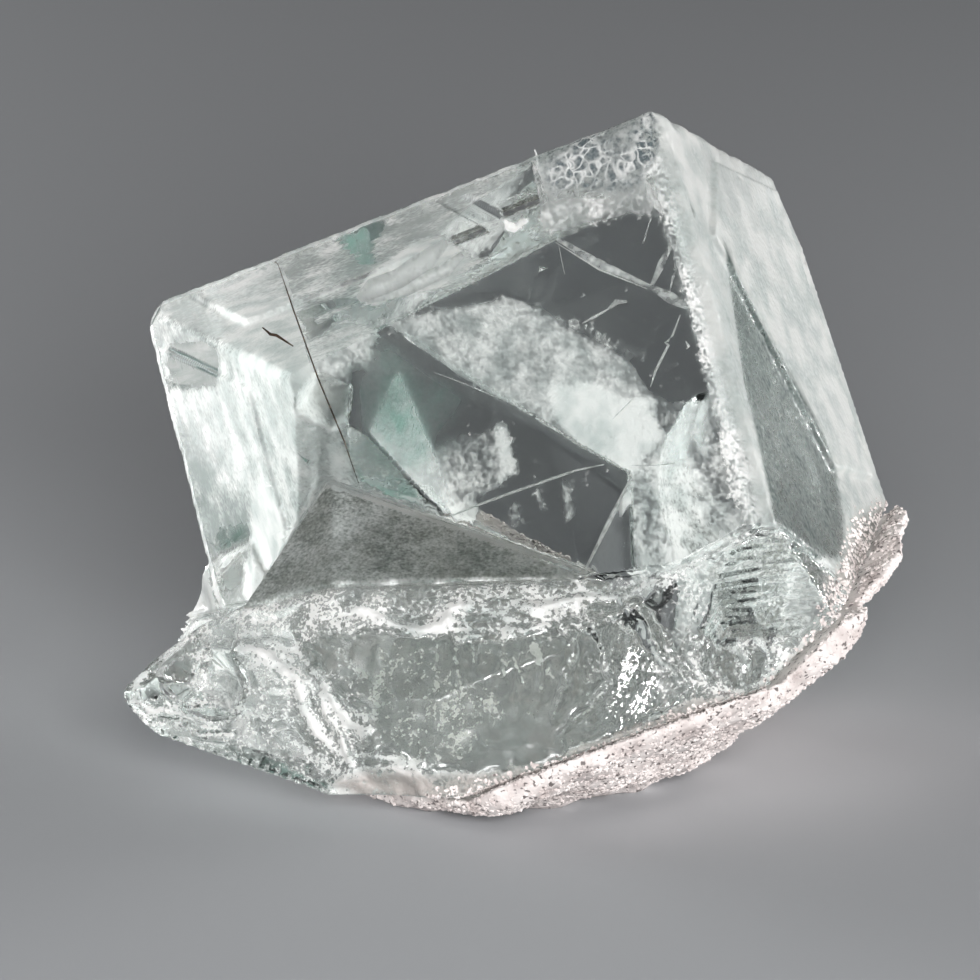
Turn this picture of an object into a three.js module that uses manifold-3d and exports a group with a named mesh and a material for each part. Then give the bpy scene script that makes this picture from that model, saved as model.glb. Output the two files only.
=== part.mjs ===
// A clear fluorite cube on a thin rind of its white granular matrix.
// Units are millimetres, +Z is up and the specimen rests on the worn flat of its rind at z = 0.
// Two nodes: fluorite_crystal, one grown piece with a broken foot, and matrix_rind, the crust
// under it.

import * as THREE from 'three';
import { ConvexGeometry } from 'three/addons/geometries/ConvexGeometry.js';
import { mergeVertices, toCreasedNormals } from 'three/addons/utils/BufferGeometryUtils.js';
import Module from 'manifold-3d';

const wasm = await Module();
wasm.setup();

// ---- Driving dimensions ------------------------------------------------------------------

const EDGE = 29.4; // edge of the cube
const CORNER_HEIGHT = 34.3; // height of its top right front corner above the table
const TURN = -14; // degrees about Z
const TIP = -24; // degrees about Y, which lifts the right side
const LEAN = -26.7; // degrees about X, which leans the front face back

const WORN_EDGE = 0.3; // how far wear has eaten into each face along its edges
const SPLIT_EDGE = 0.8; // the same on the front right edge, which is bruised along its length

const CUT_TOP_DEPTH = 16.9; // depth of the right face at its top, where the back breaks away
const CUT_LOW_DEPTH = 20.6; // and near its foot
const CUT_LEFT_DEPTH = 28.4; // depth that is left at the left face

const RIND_GAP = 0.2; // clearance between the crystal and its rind
const RIND_LUMP = { relief: 0.75, width: 3.1 }; // lumps on the rind
const RIND_GRAIN = { relief: 0.32, width: 1.05 }; // grains on it
const RIND_EDGE = { relief: 0.6, width: 3.0 }; // raggedness of its upper edge
const RIND_EDGE_GRAIN = { relief: 0.4, width: 1.25 };

// The specimen frame has its origin on the table, straight below the cube's top right front
// corner. This is where that point lies in the part's frame, whose origin is the bottom centre.
const CORNER_X = 6.74;
const CORNER_Y = -7.32;

const PAST_ALL = 120; // a size that reaches right past the specimen

// ---- Frames ------------------------------------------------------------------------------

// Takes cube coordinates (x right, y into the cube, z up from the top right front corner)
// to the specimen frame.
const CUBE_FRAME = new THREE.Matrix4()
  .makeRotationFromEuler(
    new THREE.Euler(...[LEAN, TIP, TURN].map(THREE.MathUtils.degToRad), 'ZYX'),
  )
  .setPosition(0, 0, CORNER_HEIGHT);

const vec = (p) => new THREE.Vector3(...p);
const inCube = (p) => vec(p).applyMatrix4(CUBE_FRAME);
const cubeWay = (p) => vec(p).transformDirection(CUBE_FRAME);

// A frame whose +Z runs along facing, at a point of the specimen frame.
function frameFacing(at, facing, spin = 0) {
  const turn = new THREE.Quaternion().setFromUnitVectors(
    new THREE.Vector3(0, 0, 1),
    facing.clone().normalize(),
  );
  const about = new THREE.Quaternion().setFromAxisAngle(new THREE.Vector3(0, 0, 1), spin);
  return new THREE.Matrix4().compose(at, turn.multiply(about), new THREE.Vector3(1, 1, 1));
}

// ---- Solids ------------------------------------------------------------------------------

// A closed three.js geometry as a solid that can be joined and cut.
function solid(geometry, matrix = new THREE.Matrix4()) {
  const plain = geometry.clone().applyMatrix4(matrix);
  plain.deleteAttribute('normal');
  plain.deleteAttribute('uv');
  const merged = mergeVertices(plain, 1e-4);
  return new wasm.Manifold(
    new wasm.Mesh({
      numProp: 3,
      vertProperties: new Float32Array(merged.attributes.position.array),
      triVerts: new Uint32Array(merged.index.array),
    }),
  );
}

const CREASE = THREE.MathUtils.degToRad(25); // faces that meet more sharply show an edge

function geometryOf(made) {
  const mesh = made.getMesh();
  const geometry = new THREE.BufferGeometry();
  geometry.setAttribute('position', new THREE.BufferAttribute(mesh.vertProperties, 3));
  geometry.setIndex(new THREE.BufferAttribute(mesh.triVerts, 1));
  return toCreasedNormals(geometry, CREASE);
}

const hull = (points) => solid(new ConvexGeometry(points));

// Everything beyond a plane, as a large block that stands on it.
function beyond(point, normal) {
  const block = new THREE.BoxGeometry(PAST_ALL, PAST_ALL, PAST_ALL);
  return solid(block.translate(0, 0, PAST_ALL / 2), frameFacing(point, normal));
}

// ---- Noise -------------------------------------------------------------------------------

// A fixed scatter of numbers from 0 to 1, one for each whole-numbered place.
function scatter(x, y, z) {
  const swing = Math.sin(x * 127.1 + y * 311.7 + z * 74.7) * 43758.5453;
  return swing - Math.floor(swing);
}

// Smooth relief at a point, in bumps of the given width.
function bumps(point, { relief, width }) {
  const p = point.clone().divideScalar(width);
  const cell = p.clone().floor();
  const ease = (t) => t * t * (3 - 2 * t);
  const weight = p.sub(cell).toArray().map(ease);
  let sum = 0;
  for (let corner = 0; corner < 8; corner += 1) {
    const step = [corner & 1, (corner >> 1) & 1, corner >> 2];
    const share = step.reduce((s, on, k) => s * (on ? weight[k] : 1 - weight[k]), 1);
    sum += share * scatter(cell.x + step[0], cell.y + step[1], cell.z + step[2]);
  }
  return relief * (2 * sum - 1);
}

// ---- The cube ----------------------------------------------------------------------------

// The block left when the edges along one cube axis are worn down to 45 degree flats.
function wornAlong(axis) {
  const across = (EDGE - WORN_EDGE) * Math.SQRT2;
  const size = [across, across, across];
  size[axis] = EDGE * 2;
  const turn = [0, 0, 0];
  turn[axis] = Math.PI / 4;
  const block = new THREE.BoxGeometry(...size).applyMatrix4(
    new THREE.Matrix4().makeRotationFromEuler(new THREE.Euler(...turn)),
  );
  return block.translate(-EDGE / 2, EDGE / 2, -EDGE / 2);
}

// Corners that have broken off flat: a point of the break and the way it faces.
const CHIPPED_CORNERS = [
  { at: [-EDGE + 0.5, 0.5, -0.5], facing: [-1, -1, 1] },
  { at: [0, CUT_TOP_DEPTH - 1.1, -0.5], facing: [0.35, 0.85, 0.45] },
];

// Splinters lost from the top front edge: place along it and size of each.
const CHIP_LENGTH = 1.7; // length of a splinter, in its own sizes
const CHIP_OFFSET = 0.35; // how far its middle stands off the edge, in its own sizes
const TOP_EDGE_CHIPS = [
  { x: -26.3, bite: 0.5 },
  { x: -23.4, bite: 0.7 },
  { x: -20.2, bite: 0.45 },
  { x: -16.6, bite: 0.8 },
  { x: -13.9, bite: 0.5 },
  { x: -7.0, bite: 0.7 },
  { x: -4.2, bite: 0.9 },
  { x: -2.0, bite: 0.55 },
];

// Thin layers that stopped growing short of an edge, so each ends in a low ledge. Each holds
// the two far corners of its block, in cube coordinates.
const PROUD = 0.3; // how far a layer stands off its face
const SUNK = 0.2; // how far its block reaches into the cube
const LAYERS = [
  { low: [-27.2, 1.4, -SUNK], high: [-13.2, 13.0, PROUD] }, // top face
  { low: [-11.8, 3.4, -SUNK], high: [-4.2, 11.2, PROUD] },
  { low: [-EDGE - PROUD, 2.4, -12.6], high: [-EDGE + SUNK, 19.4, -1.8] }, // left face
  { low: [-EDGE - PROUD, 9.2, -19.5], high: [-EDGE + SUNK, 22.0, -13.4] },
  { low: [-6.9, -0.16, -3.2], high: [-1.2, SUNK, -0.5] }, // front face, by the corner
];

// The layer on the right face ends in a slanting ledge: its corners, as depth and height.
const RIGHT_LAYER = [[3.1, -6.4], [6.6, -1.6], [15.2, -1.2], [18.0, -16.6], [12.0, -17.2]];

function rightLayer() {
  const sides = [-SUNK, PROUD].flatMap((x) => RIGHT_LAYER.map(([y, z]) => inCube([x, y, z])));
  return hull(sides);
}

function layer({ low, high }) {
  const [a, b] = [vec(low), vec(high)];
  const size = b.clone().sub(a);
  const middle = a.clone().add(b).multiplyScalar(0.5);
  const block = new THREE.BoxGeometry(size.x, size.y, size.z).translate(...middle.toArray());
  return solid(block, CUBE_FRAME);
}

function cube() {
  const block = new THREE.BoxGeometry(EDGE, EDGE, EDGE);
  let made = solid(block.translate(-EDGE / 2, EDGE / 2, -EDGE / 2), CUBE_FRAME);
  for (const axis of [0, 1, 2]) {
    made = made.intersect(solid(wornAlong(axis), CUBE_FRAME));
  }
  const bruise = inCube([-SPLIT_EDGE / 2, SPLIT_EDGE / 2, 0]);
  made = made.subtract(beyond(bruise, cubeWay([1, -1, 0])));
  for (const { at, facing } of CHIPPED_CORNERS) {
    made = made.subtract(beyond(inCube(at), cubeWay(facing)));
  }
  for (const { x, bite } of TOP_EDGE_CHIPS) {
    const splinter = new THREE.OctahedronGeometry(bite).scale(CHIP_LENGTH, 1, 1);
    splinter.translate(x, -bite * CHIP_OFFSET, bite * CHIP_OFFSET);
    made = made.subtract(solid(splinter, CUBE_FRAME));
  }
  return made;
}

// The plane on which the back of the cube broke away.
const BACK_POINT = inCube([0, CUT_TOP_DEPTH, 0]);
const BACK_NORMAL = inCube([0, CUT_LOW_DEPTH, -21.5])
  .sub(BACK_POINT)
  .cross(inCube([-EDGE, CUT_LEFT_DEPTH, 0]).sub(BACK_POINT))
  .normalize();

// Fluorite splits on the faces of an octahedron, so the notches down the broken back are the
// corners of one: centre in cube coordinates and size of each.
const BACK_NOTCHES = [
  { at: [-27.5, 35.5, -2.0], size: 10.0 },
  { at: [1.5, 27.0, -16.0], size: 9.0 },
  { at: [-25.5, 31.5, -19.0], size: 8.0 },
  { at: [-8.5, 27.5, -24.5], size: 7.5 },
];

// A clean cleavage hollow in the broken back, whose faces meet along crisp lines: its rim, just
// outside the back, and the two lowest corners of its floor, in cube coordinates.
const HOLLOW = [
  [-23.4, 26.7, 0.6],
  [-15.5, 24.9, -7.1],
  [-11.6, 24.3, -12.3],
  [-13.3, 25.9, -17.9],
  [-18.8, 28.2, -18.8],
  [-28.6, 30.2, -8.1],
  [-26.9, 28.6, -2.6],
  [-21.2, 24.4, -11.2],
  [-15.3, 22.9, -16.9],
];

const notch = ({ at, size }) =>
  solid(new THREE.OctahedronGeometry(size).translate(...at), CUBE_FRAME);

// ---- The broken foot ---------------------------------------------------------------------

// Corners of the ledge in front of the cube. Its sloping top comes to a point on the front
// face, its front faces forward, and below that it draws in to the rim.
const LEDGE = [
  [-16.3, -1.5, 15.35], // point on the front face
  [-2.8, -9.6, 12.5], // right end, where the slope runs out on the front face
  [-16.2, -9.0, 12.05], // front edge of the slope
  [-9.7, -9.9, 12.2],
  [-20.5, -7.2, 10.4],
  [-15.9, -9.6, 11.0], // chipped band below that edge
  [-9.7, -10.5, 11.2],
  [-3.0, -10.3, 11.4],
  [-19.6, -8.2, 9.8],
  [-17.7, -11.2, 6.8], // front
  [-12.7, -13.1, 7.3],
  [-7.8, -13.9, 7.4],
  [-2.8, -13.5, 7.8],
  [-0.8, -12.4, 10.0],
  [-16.2, -12.8, 1.8], // rim
  [-10.7, -14.3, 1.2],
  [-4.8, -14.4, 2.0],
  [-0.3, -13.9, 3.0],
  [-18.5, 1.5, 10.5], // inside the cube and down to the belly
  [-18.0, 4.0, 1.5],
  [0, 4, 1.5],
  [-2, -2, 13],
];

// Corners of the shoulder that runs out into the knob on the left.
const SHOULDER = [
  [-20.5, -7.2, 10.4],
  [-22.75, -6.6, 9.2],
  [-24.3, -6.6, 7.9],
  [-25.3, -6.5, 7.2],
  [-26.7, -6.9, 5.9], // tip
  [-26.4, -7.4, 5.1],
  [-25.7, -8.0, 4.3],
  [-24.9, -8.3, 3.9],
  [-22.7, -8.7, 3.9],
  [-20.2, -10.3, 3.1],
  [-16.2, -12.7, 2.0],
  [-22.7, -8.8, 7.0], // front
  [-19.7, -9.6, 8.7],
  [-17.5, -11.4, 6.8],
  [-24.0, -4.0, 5.2], // back
  [-20.0, -1.0, 4.0],
  [-18.0, 1.0, 9.0],
  [-16.0, -2.0, 2.0],
  [-12.0, -6.0, 4.0],
];

// Corners of the wedge behind the knob, which flares out to the left below the cube.
const WEDGE = [
  [-22.4, -0.9, 11.2],
  [-24.15, 2.0, 6.5],
  [-24.35, 2.8, 5.6],
  [-21.5, 9.5, 3.2],
  [-19.0, 12.5, 6.8],
  [-14.0, 10.5, 2.0],
  [-17.0, -3.5, 2.2],
  [-17.5, 5.0, 13.0],
  [-21.2, -3.6, 5.0],
];

// The tool that leaves a shell-like break: a shallow bowl with ripples that spread in arcs
// from where the blow fell. from is that place, in half widths from the middle of the bowl.
function shell(shape) {
  const { at, facing, width, depth, rings, ripple, from = 0.9, stretch = 1, spin = 0 } = shape;
  const reach = width / 2;
  const blow = reach * from;
  const radius = reach * 1.15 + blow;
  const lid = depth + reach;
  const steps = 3 * rings;
  const profile = [new THREE.Vector2(0, 0)];
  for (let i = 1; i <= steps; i += 1) {
    const crest = Math.cos((2 * Math.PI * i) / 3);
    profile.push(new THREE.Vector2((radius * i) / steps, ripple * crest));
  }
  profile.push(new THREE.Vector2(radius, lid));
  profile.push(new THREE.Vector2(0, lid));
  const bowl = new THREE.LatheGeometry(profile, 30).rotateX(Math.PI / 2);
  const place = bowl.attributes.position;
  for (let i = 0; i < place.count; i += 1) {
    const [x, y, z] = [place.getX(i) - blow, place.getY(i), place.getZ(i)];
    const sag = depth * (1 - (x * x + y * y) / (reach * reach));
    place.setZ(i, z < lid / 2 ? z - sag : z);
  }
  bowl.translate(-blow, 0, 0).scale(1, stretch, 1);
  return solid(bowl, frameFacing(at, facing, spin));
}

// Flat cleavage breaks on the foot: a point of each and the way it faces. Their directions
// are those of the cube's octahedral cleavage, give or take what the bowing of the break adds.
const FOOT_FLATS = [
  { at: [-9.0, -13.2, 7.0], facing: [0.14, -0.99, 0.05] }, // the broad, quiet middle
  { at: [-18.9, -10.8, 5.6], facing: [-0.42, -0.9, 0.08] }, // lower left
];

const SHELLS = [
  { // the large shell that took the cube's lower right front corner
    at: vec([6.2, -10.6, 8.8]), facing: vec([0.42, -0.89, 0.02]),
    width: 12.4, depth: 1.7, from: 1.0, spin: 1.9, rings: 6, ripple: 0.07,
  },
  { // the column and the curved band between the quiet middle and that shell
    at: vec([-0.6, -12.0, 8.6]), facing: vec([0.05, -0.98, 0.2]),
    width: 6.6, depth: 0.8, from: 1.3, stretch: 1.5, spin: -0.3, rings: 4, ripple: 0.06,
  },
  { // small shells towards the knob
    at: vec([-17.2, -11.7, 6.0]), facing: vec([-0.35, -0.92, 0.05]),
    width: 5.4, depth: 0.7, stretch: 1.4, spin: 0.6, rings: 4, ripple: 0.12,
  },
  {
    at: vec([-14.4, -13.2, 2.9]), facing: vec([-0.15, -0.8, -0.5]),
    width: 5.0, depth: 0.6, spin: 2.2, rings: 3, ripple: 0.1,
  },
  { // the knob's hollow
    at: vec([-23.3, -8.2, 6.9]), facing: vec([-0.12, -0.95, 0.3]),
    width: 5.2, depth: 0.9, from: 0.2, stretch: 0.62, spin: -0.35, rings: 2, ripple: 0.05,
  },
  { // the broken back
    at: inCube([-6.6, 21.3, -15.5]), facing: BACK_NORMAL,
    width: 8.0, depth: 1.1, stretch: 0.8, spin: 0.8, rings: 4, ripple: 0.08,
  },
  { // the back of the wedge
    at: vec([-20.2, 10.6, 6.0]), facing: vec([-0.8, 0.5, 0]),
    width: 7.0, depth: 0.9, rings: 3, ripple: 0.1,
  },
];

// ---- The underside -----------------------------------------------------------------------

// The faces of the belly, out from a point inside the foot. reach is how far out the rind's
// face lies, and rind is its thickness there.
const BELLY_CENTRE = vec([-5, 2, 8]);
const BELLY = [
  { way: [0, 0, -1], reach: 8.5, rind: 2.2 },
  { way: [0, -0.2, -0.98], reach: 10.0, rind: 1.3 },
  { way: [0.69, -0.05, -0.725], reach: 10.5, rind: 1.7 },
  { way: [0.35, -0.32, -0.88], reach: 10.0, rind: 1.7 },
  { way: [-0.22, -0.1, -0.97], reach: 10.5, rind: 0.7 },
  { way: [0, 0.4, -0.917], reach: 11.0, rind: 1.9 },
];
// The faces that bound the rind sideways.
const SIDES = [
  { way: [0, -1, 0.12], reach: 16.0 },
  { way: [0.55, -0.83, 0], reach: 16.4 },
  { way: [0.97, -0.25, 0.05], reach: 17.5 },
  { way: BACK_NORMAL.toArray(), reach: 14.6 },
  { way: [-0.2, 0.98, 0], reach: 20.0 },
  { way: [-0.89, 0.22, -0.41], reach: 12.6 },
  { way: [-0.72, -0.69, 0], reach: 13.4 },
  { way: [0, 0, 1], reach: 16 },
];

// Cuts away whatever lies beyond the belly, taken in by each face's rind less a gap.
function cutByBelly(made, gap) {
  let left = made;
  for (const { way, reach, rind } of BELLY) {
    const facing = vec(way).normalize();
    const point = BELLY_CENTRE.clone().addScaledVector(facing, reach - rind + gap);
    left = left.subtract(beyond(point, facing));
  }
  return left;
}

const CORNER_SHARPNESS = 24; // higher makes the corners between the stone's faces sharper

// A rough stone whose faces are the belly and the sides, with soft corners and a grainy skin.
function stone() {
  const faces = [...BELLY, ...SIDES].map(({ way, reach }) => vec(way).setLength(1 / reach));
  const ball = new THREE.IcosahedronGeometry(1, 17);
  const place = ball.attributes.position;
  const p = new THREE.Vector3();
  for (let i = 0; i < place.count; i += 1) {
    p.fromBufferAttribute(place, i).normalize();
    const pulls = faces.map((face) => Math.max(p.dot(face), 0) ** CORNER_SHARPNESS);
    const radius = pulls.reduce((sum, pull) => sum + pull) ** (-1 / CORNER_SHARPNESS);
    const at = p.clone().multiplyScalar(radius);
    p.setLength(radius + bumps(at, RIND_LUMP) + bumps(at, RIND_GRAIN));
    place.setXYZ(i, ...p.toArray());
  }
  return solid(ball.translate(...BELLY_CENTRE.toArray()));
}

// Where the rind's upper edge passes the front rim, and the way it faces: it climbs rightwards.
const RIND_TOP = vec([-10.7, -14.0, 3.1]);
const RIND_TOP_FACING = vec([-0.3, -0.06, 0.953]);

// What lies above the rind's ragged upper edge.
function aboveRind() {
  const [size, height, cells] = [90, 30, 44];
  const sheet = new THREE.BoxGeometry(size, size, height, cells, cells, 1);
  sheet.translate(0, 0, height / 2);
  const place = sheet.attributes.position;
  const p = new THREE.Vector3();
  for (let i = 0; i < place.count; i += 1) {
    p.fromBufferAttribute(place, i);
    const ragged = bumps(p, RIND_EDGE) + bumps(p, RIND_EDGE_GRAIN);
    place.setZ(i, p.z < height / 2 ? p.z + ragged : p.z);
  }
  return solid(sheet, frameFacing(RIND_TOP, RIND_TOP_FACING));
}

// ---- The two pieces ----------------------------------------------------------------------

function foot() {
  let made = hull(LEDGE.map(vec)).add(hull(SHOULDER.map(vec))).add(hull(WEDGE.map(vec)));
  for (const { at, facing } of FOOT_FLATS) {
    made = made.subtract(beyond(vec(at), vec(facing)));
  }
  return made;
}

function crystal() {
  let made = cube();
  for (const one of LAYERS) {
    made = made.add(layer(one));
  }
  made = made.add(rightLayer());
  made = made.subtract(beyond(BACK_POINT, BACK_NORMAL));
  for (const one of BACK_NOTCHES) {
    made = made.subtract(notch(one));
  }
  made = made.subtract(hull(HOLLOW.map(inCube)));
  made = made.add(foot());
  for (const one of SHELLS) {
    made = made.subtract(shell(one));
  }
  return cutByBelly(made, 0);
}

function rind() {
  const table = beyond(new THREE.Vector3(0, 0, 0), new THREE.Vector3(0, 0, -1));
  const block = solid(new THREE.BoxGeometry(PAST_ALL, PAST_ALL, PAST_ALL));
  const seat = cutByBelly(block, RIND_GAP);
  return stone().subtract(seat).subtract(aboveRind()).subtract(table);
}

// The largest body of a solid, without the crumbs that its cuts leave loose.
const largest = (made) =>
  made.decompose().reduce((most, body) => (body.volume() > most.volume() ? body : most));

function piece(name, made, material) {
  const mesh = new THREE.Mesh(geometryOf(made), material);
  mesh.name = name;
  return mesh;
}

const clearFluorite = new THREE.MeshStandardMaterial({
  color: 0xd5e4e0,
  roughness: 0.08,
  metalness: 0,
});
const whiteMatrix = new THREE.MeshStandardMaterial({
  color: 0xd9d0cc,
  roughness: 0.9,
  metalness: 0,
});

const specimen = new THREE.Group();
specimen.name = 'fluorite_specimen';
specimen.position.set(CORNER_X, CORNER_Y, 0);
specimen.add(piece('fluorite_crystal', largest(crystal()), clearFluorite));
specimen.add(piece('matrix_rind', largest(rind()), whiteMatrix));

export default specimen;
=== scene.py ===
"""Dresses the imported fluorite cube: crystal, inner flaws, rind, grains and stage.

Lengths are in millimetres, apart from those in the panel, which are in metres.
"""

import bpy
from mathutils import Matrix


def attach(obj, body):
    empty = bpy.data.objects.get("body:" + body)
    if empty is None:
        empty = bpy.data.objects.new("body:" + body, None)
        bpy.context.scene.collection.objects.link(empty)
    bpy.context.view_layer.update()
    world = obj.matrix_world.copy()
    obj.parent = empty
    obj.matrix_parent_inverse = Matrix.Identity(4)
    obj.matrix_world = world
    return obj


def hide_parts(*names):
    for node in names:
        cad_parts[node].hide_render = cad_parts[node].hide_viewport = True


bl_info = {
    "name": "Fluorite cube",
    "version": (1, 0, 0),
    "blender": (4, 5, 0),
    "location": "View3D > Sidebar > Fluorite",
    "description": "Builds a clear fluorite cube on its white granular rind, and its stage",
    "category": "Add Mesh",
}

import math
from collections import namedtuple
from itertools import product

import bmesh
import bpy
import numpy as np
import openvdb
from mathutils import Euler, Vector
from mathutils.bvhtree import BVHTree

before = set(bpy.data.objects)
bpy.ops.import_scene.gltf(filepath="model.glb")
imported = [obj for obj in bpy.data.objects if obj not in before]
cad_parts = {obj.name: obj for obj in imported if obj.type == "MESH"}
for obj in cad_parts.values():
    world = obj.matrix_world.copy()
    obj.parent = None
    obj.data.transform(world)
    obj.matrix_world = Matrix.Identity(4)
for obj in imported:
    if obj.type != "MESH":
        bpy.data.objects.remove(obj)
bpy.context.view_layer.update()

MM = 0.001

# ---- Frames ------------------------------------------------------------------------------

# The cube's own frame, as the part's source gives it: x right, y into the cube and z up from
# its top right front corner.
CUBE_CORNER = np.array([6.74, -7.32, 34.3])
CUBE_TILTS = (-26.7, -24.0, -14.0)  # degrees about X, Y and Z
CUBE_TURN = Euler([math.radians(tilt) for tilt in CUBE_TILTS], "XYZ").to_matrix()
CUBE_EDGE = 29.4
FLUORITE_IOR = 1.434

# The camera looks from the front at this elevation. What lies on the specimen's front is
# given on a sheet as that camera sees it: 980 units square, 20 units to the millimetre at the
# target, with y downwards.
ELEVATION = math.radians(15)
DISTANCE = 500.0
TARGET = np.array([-1.51, -12.20, 15.74])
LOOK = np.array([0, math.cos(ELEVATION), -math.sin(ELEVATION)])
UP = np.array([0, math.sin(ELEVATION), math.cos(ELEVATION)])
RIGHT = np.array([1.0, 0, 0])
SHEET = 980
SHEET_UNITS = 20.0


def sheet_of(points):
    """Where the camera sees points, as places on the sheet."""
    seen = np.asarray(points, float) - TARGET
    scale = SHEET_UNITS * DISTANCE / (DISTANCE + seen @ LOOK)
    return np.stack([SHEET / 2 + seen @ RIGHT * scale, SHEET / 2 - seen @ UP * scale], -1)


def cube_of(points):
    """Points in the cube's own frame."""
    return (np.asarray(points, float) - CUBE_CORNER) @ np.array(CUBE_TURN)


def world_of(cube_points):
    """Points of the cube's own frame, in the part's frame."""
    return np.asarray(cube_points, float) @ np.array(CUBE_TURN).T + CUBE_CORNER


def refracted(axis):
    """The camera's middle ray once it is inside the cube, through the face across an axis."""
    ray = LOOK @ np.array(CUBE_TURN) / FLUORITE_IOR
    ray[axis] = math.copysign(math.sqrt(1 - np.delete(ray, axis) @ np.delete(ray, axis)), ray[axis])
    return ray


INNER_RAY = refracted(1)


def shown_in_front(cube_points):
    """Where the front face shows points that lie behind it, as places on the sheet."""
    points = np.asarray(cube_points, float)
    return sheet_of(world_of(points - points[:, 1:2] / INNER_RAY[1] * INNER_RAY))


def behind_front(places, depth):
    """Points at a depth in the cube that the front face shows at places on the sheet."""
    rays = (places - SHEET / 2) @ np.array([RIGHT, -UP]) / (SHEET_UNITS * DISTANCE) + LOOK
    eye = TARGET - LOOK * DISTANCE
    turn = np.array(CUBE_TURN)
    start, way = (eye - CUBE_CORNER) @ turn, rays @ turn
    front = start - way * (start[1] / way[:, 1:2])
    return world_of(front + INNER_RAY * depth[:, None])


def walls_of(cube):
    """How far points of the cube's frame are from its side, front and top faces, nearest first."""
    away = np.stack([cube[:, 0], cube[:, 1], cube[:, 2], cube[:, 0] + CUBE_EDGE], -1)
    return np.sort(np.abs(away), 1)


# ---- Noise -------------------------------------------------------------------------------

SEED_PRIME = 374761393
AXIS_PRIMES = (73856093, 19349663, 83492791)
MIXING_PRIME = 1274126177
FAR_OFF = 9.0  # further away than the middle of any hollow close by
CREST = 0.13  # how wide a crest is, for a hollow one wide


def scatter(cell, seed):
    """A fixed scatter of numbers from 0 to 1, one for each whole-numbered place."""
    mixed = np.full(len(cell), seed * SEED_PRIME, np.int64)
    for axis, prime in enumerate(AXIS_PRIMES[: cell.shape[1]]):
        mixed ^= cell[:, axis] * prime
    mixed = (mixed ^ (mixed >> 13)) * MIXING_PRIME & 0xFFFFFFFF
    return ((mixed ^ (mixed >> 16)) & 0xFFFFFF) / 0x1000000


def bumps(points, width, seed):
    """Smooth noise from -1 to 1, in bumps of the given width, in 2 or 3 dimensions."""
    places = points / width
    cell = np.floor(places).astype(np.int64)
    share = places - cell
    share = share * share * (3 - 2 * share)
    total = np.zeros(len(points))
    for corner in product((0, 1), repeat=points.shape[1]):
        weight = np.prod(np.where(corner, share, 1 - share), axis=1)
        total += weight * scatter(cell + np.array(corner), seed)
    return 2 * total - 1


def layered(points, layers, level):
    """A level with bumps laid over it, from the height, width and seed of each layer."""
    return sum((height * bumps(points, width, seed) for height, width, seed in layers), level)


def drift(places, reach, width, seeds):
    """How far places on the sheet move about, smoothly, to make outlines drawn there uneven."""
    return reach * np.stack([bumps(places, width, seed) for seed in seeds], -1)


def scallops(points, width, seed):
    """Hollows side by side, in 2D: how far up its hollow each point lies, from 0 to 1, and how
    near the sharp crest between two hollows, from 0 to 1."""
    places = points / width
    cell = np.floor(places).astype(np.int64)
    nearest = np.full(len(points), FAR_OFF)
    second = np.full(len(points), FAR_OFF)
    for step in product((-1, 0, 1), repeat=2):
        near = cell + np.array(step)
        middle = near + np.stack([scatter(near, seed), scatter(near, seed + 1)], -1)
        away = ((places - middle) ** 2).sum(1)
        second = np.minimum(second, np.maximum(away, nearest))
        nearest = np.minimum(nearest, away)
    crest = np.exp(-np.square((np.sqrt(second) - np.sqrt(nearest)) / CREST))
    return np.minimum(nearest, 1), crest


def saw(places, angle, spacing, sharp=0.8):
    """Small steps across a direction on the sheet: a slow rise and a quick fall."""
    way = np.array([math.cos(math.radians(angle)), math.sin(math.radians(angle))])
    phase = (places @ way) / spacing
    phase = phase - np.floor(phase)
    return np.where(phase < sharp, phase / sharp, (1 - phase) / (1 - sharp))


def smooth(value, low, high):
    """0 below the low end, 1 above the high end, and a soft ramp between them."""
    share = np.clip((value - low) / (high - low), 0, 1)
    return share * share * (3 - 2 * share)


def along(places, path):
    """Distance of places from a path of straight stretches, on the sheet."""
    best = np.full(len(places), np.inf)
    path = np.array(path, float)
    for a, b in zip(path, path[1:]):
        run = b - a
        share = np.clip(((places - a) @ run) / (run @ run), 0, 1)
        best = np.minimum(best, ((places - a - share[:, None] * run) ** 2).sum(1))
    return np.sqrt(best)


def inside(places, corners, soft):
    """1 well inside a polygon and 0 well outside it, with a soft edge, on the sheet."""
    corners = np.array(corners, float)
    odd = np.zeros(len(places), bool)
    for (ax, ay), (bx, by) in zip(corners, np.roll(corners, -1, 0)):
        if ay != by:
            across = (places[:, 1] < ay) != (places[:, 1] < by)
            odd ^= across & (places[:, 0] < (bx - ax) * (places[:, 1] - ay) / (by - ay) + ax)
    away = along(places, np.vstack([corners, corners[:1]]))
    return smooth(np.where(odd, away, -away), -soft, soft)


def zoned(places, zones, level):
    """The level at each place, from zones that lie one over another."""
    for value, soft, corners in zones:
        level = level + (value - level) * inside(places, corners, soft)
    return level


def grain_of(places, angle, stretch):
    """Places on the sheet in millimetres along and across a grain, shortened along it."""
    turn = np.radians(angle)
    across = places[:, 1] * np.cos(turn) - places[:, 0] * np.sin(turn)
    down = places[:, 0] * np.cos(turn) + places[:, 1] * np.sin(turn)
    return np.stack([down / stretch, across], -1) / SHEET_UNITS


# ---- Meshes ------------------------------------------------------------------------------

MERGE_DIGITS = 4  # corners that agree to this many decimals of a millimetre are one
BAND_CELLS = 3  # cells of distance field kept beyond the deepest carving
MARGIN_CELLS = 2
SPLIT_ROUNDS = 6
TINY = 1e-9


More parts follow.
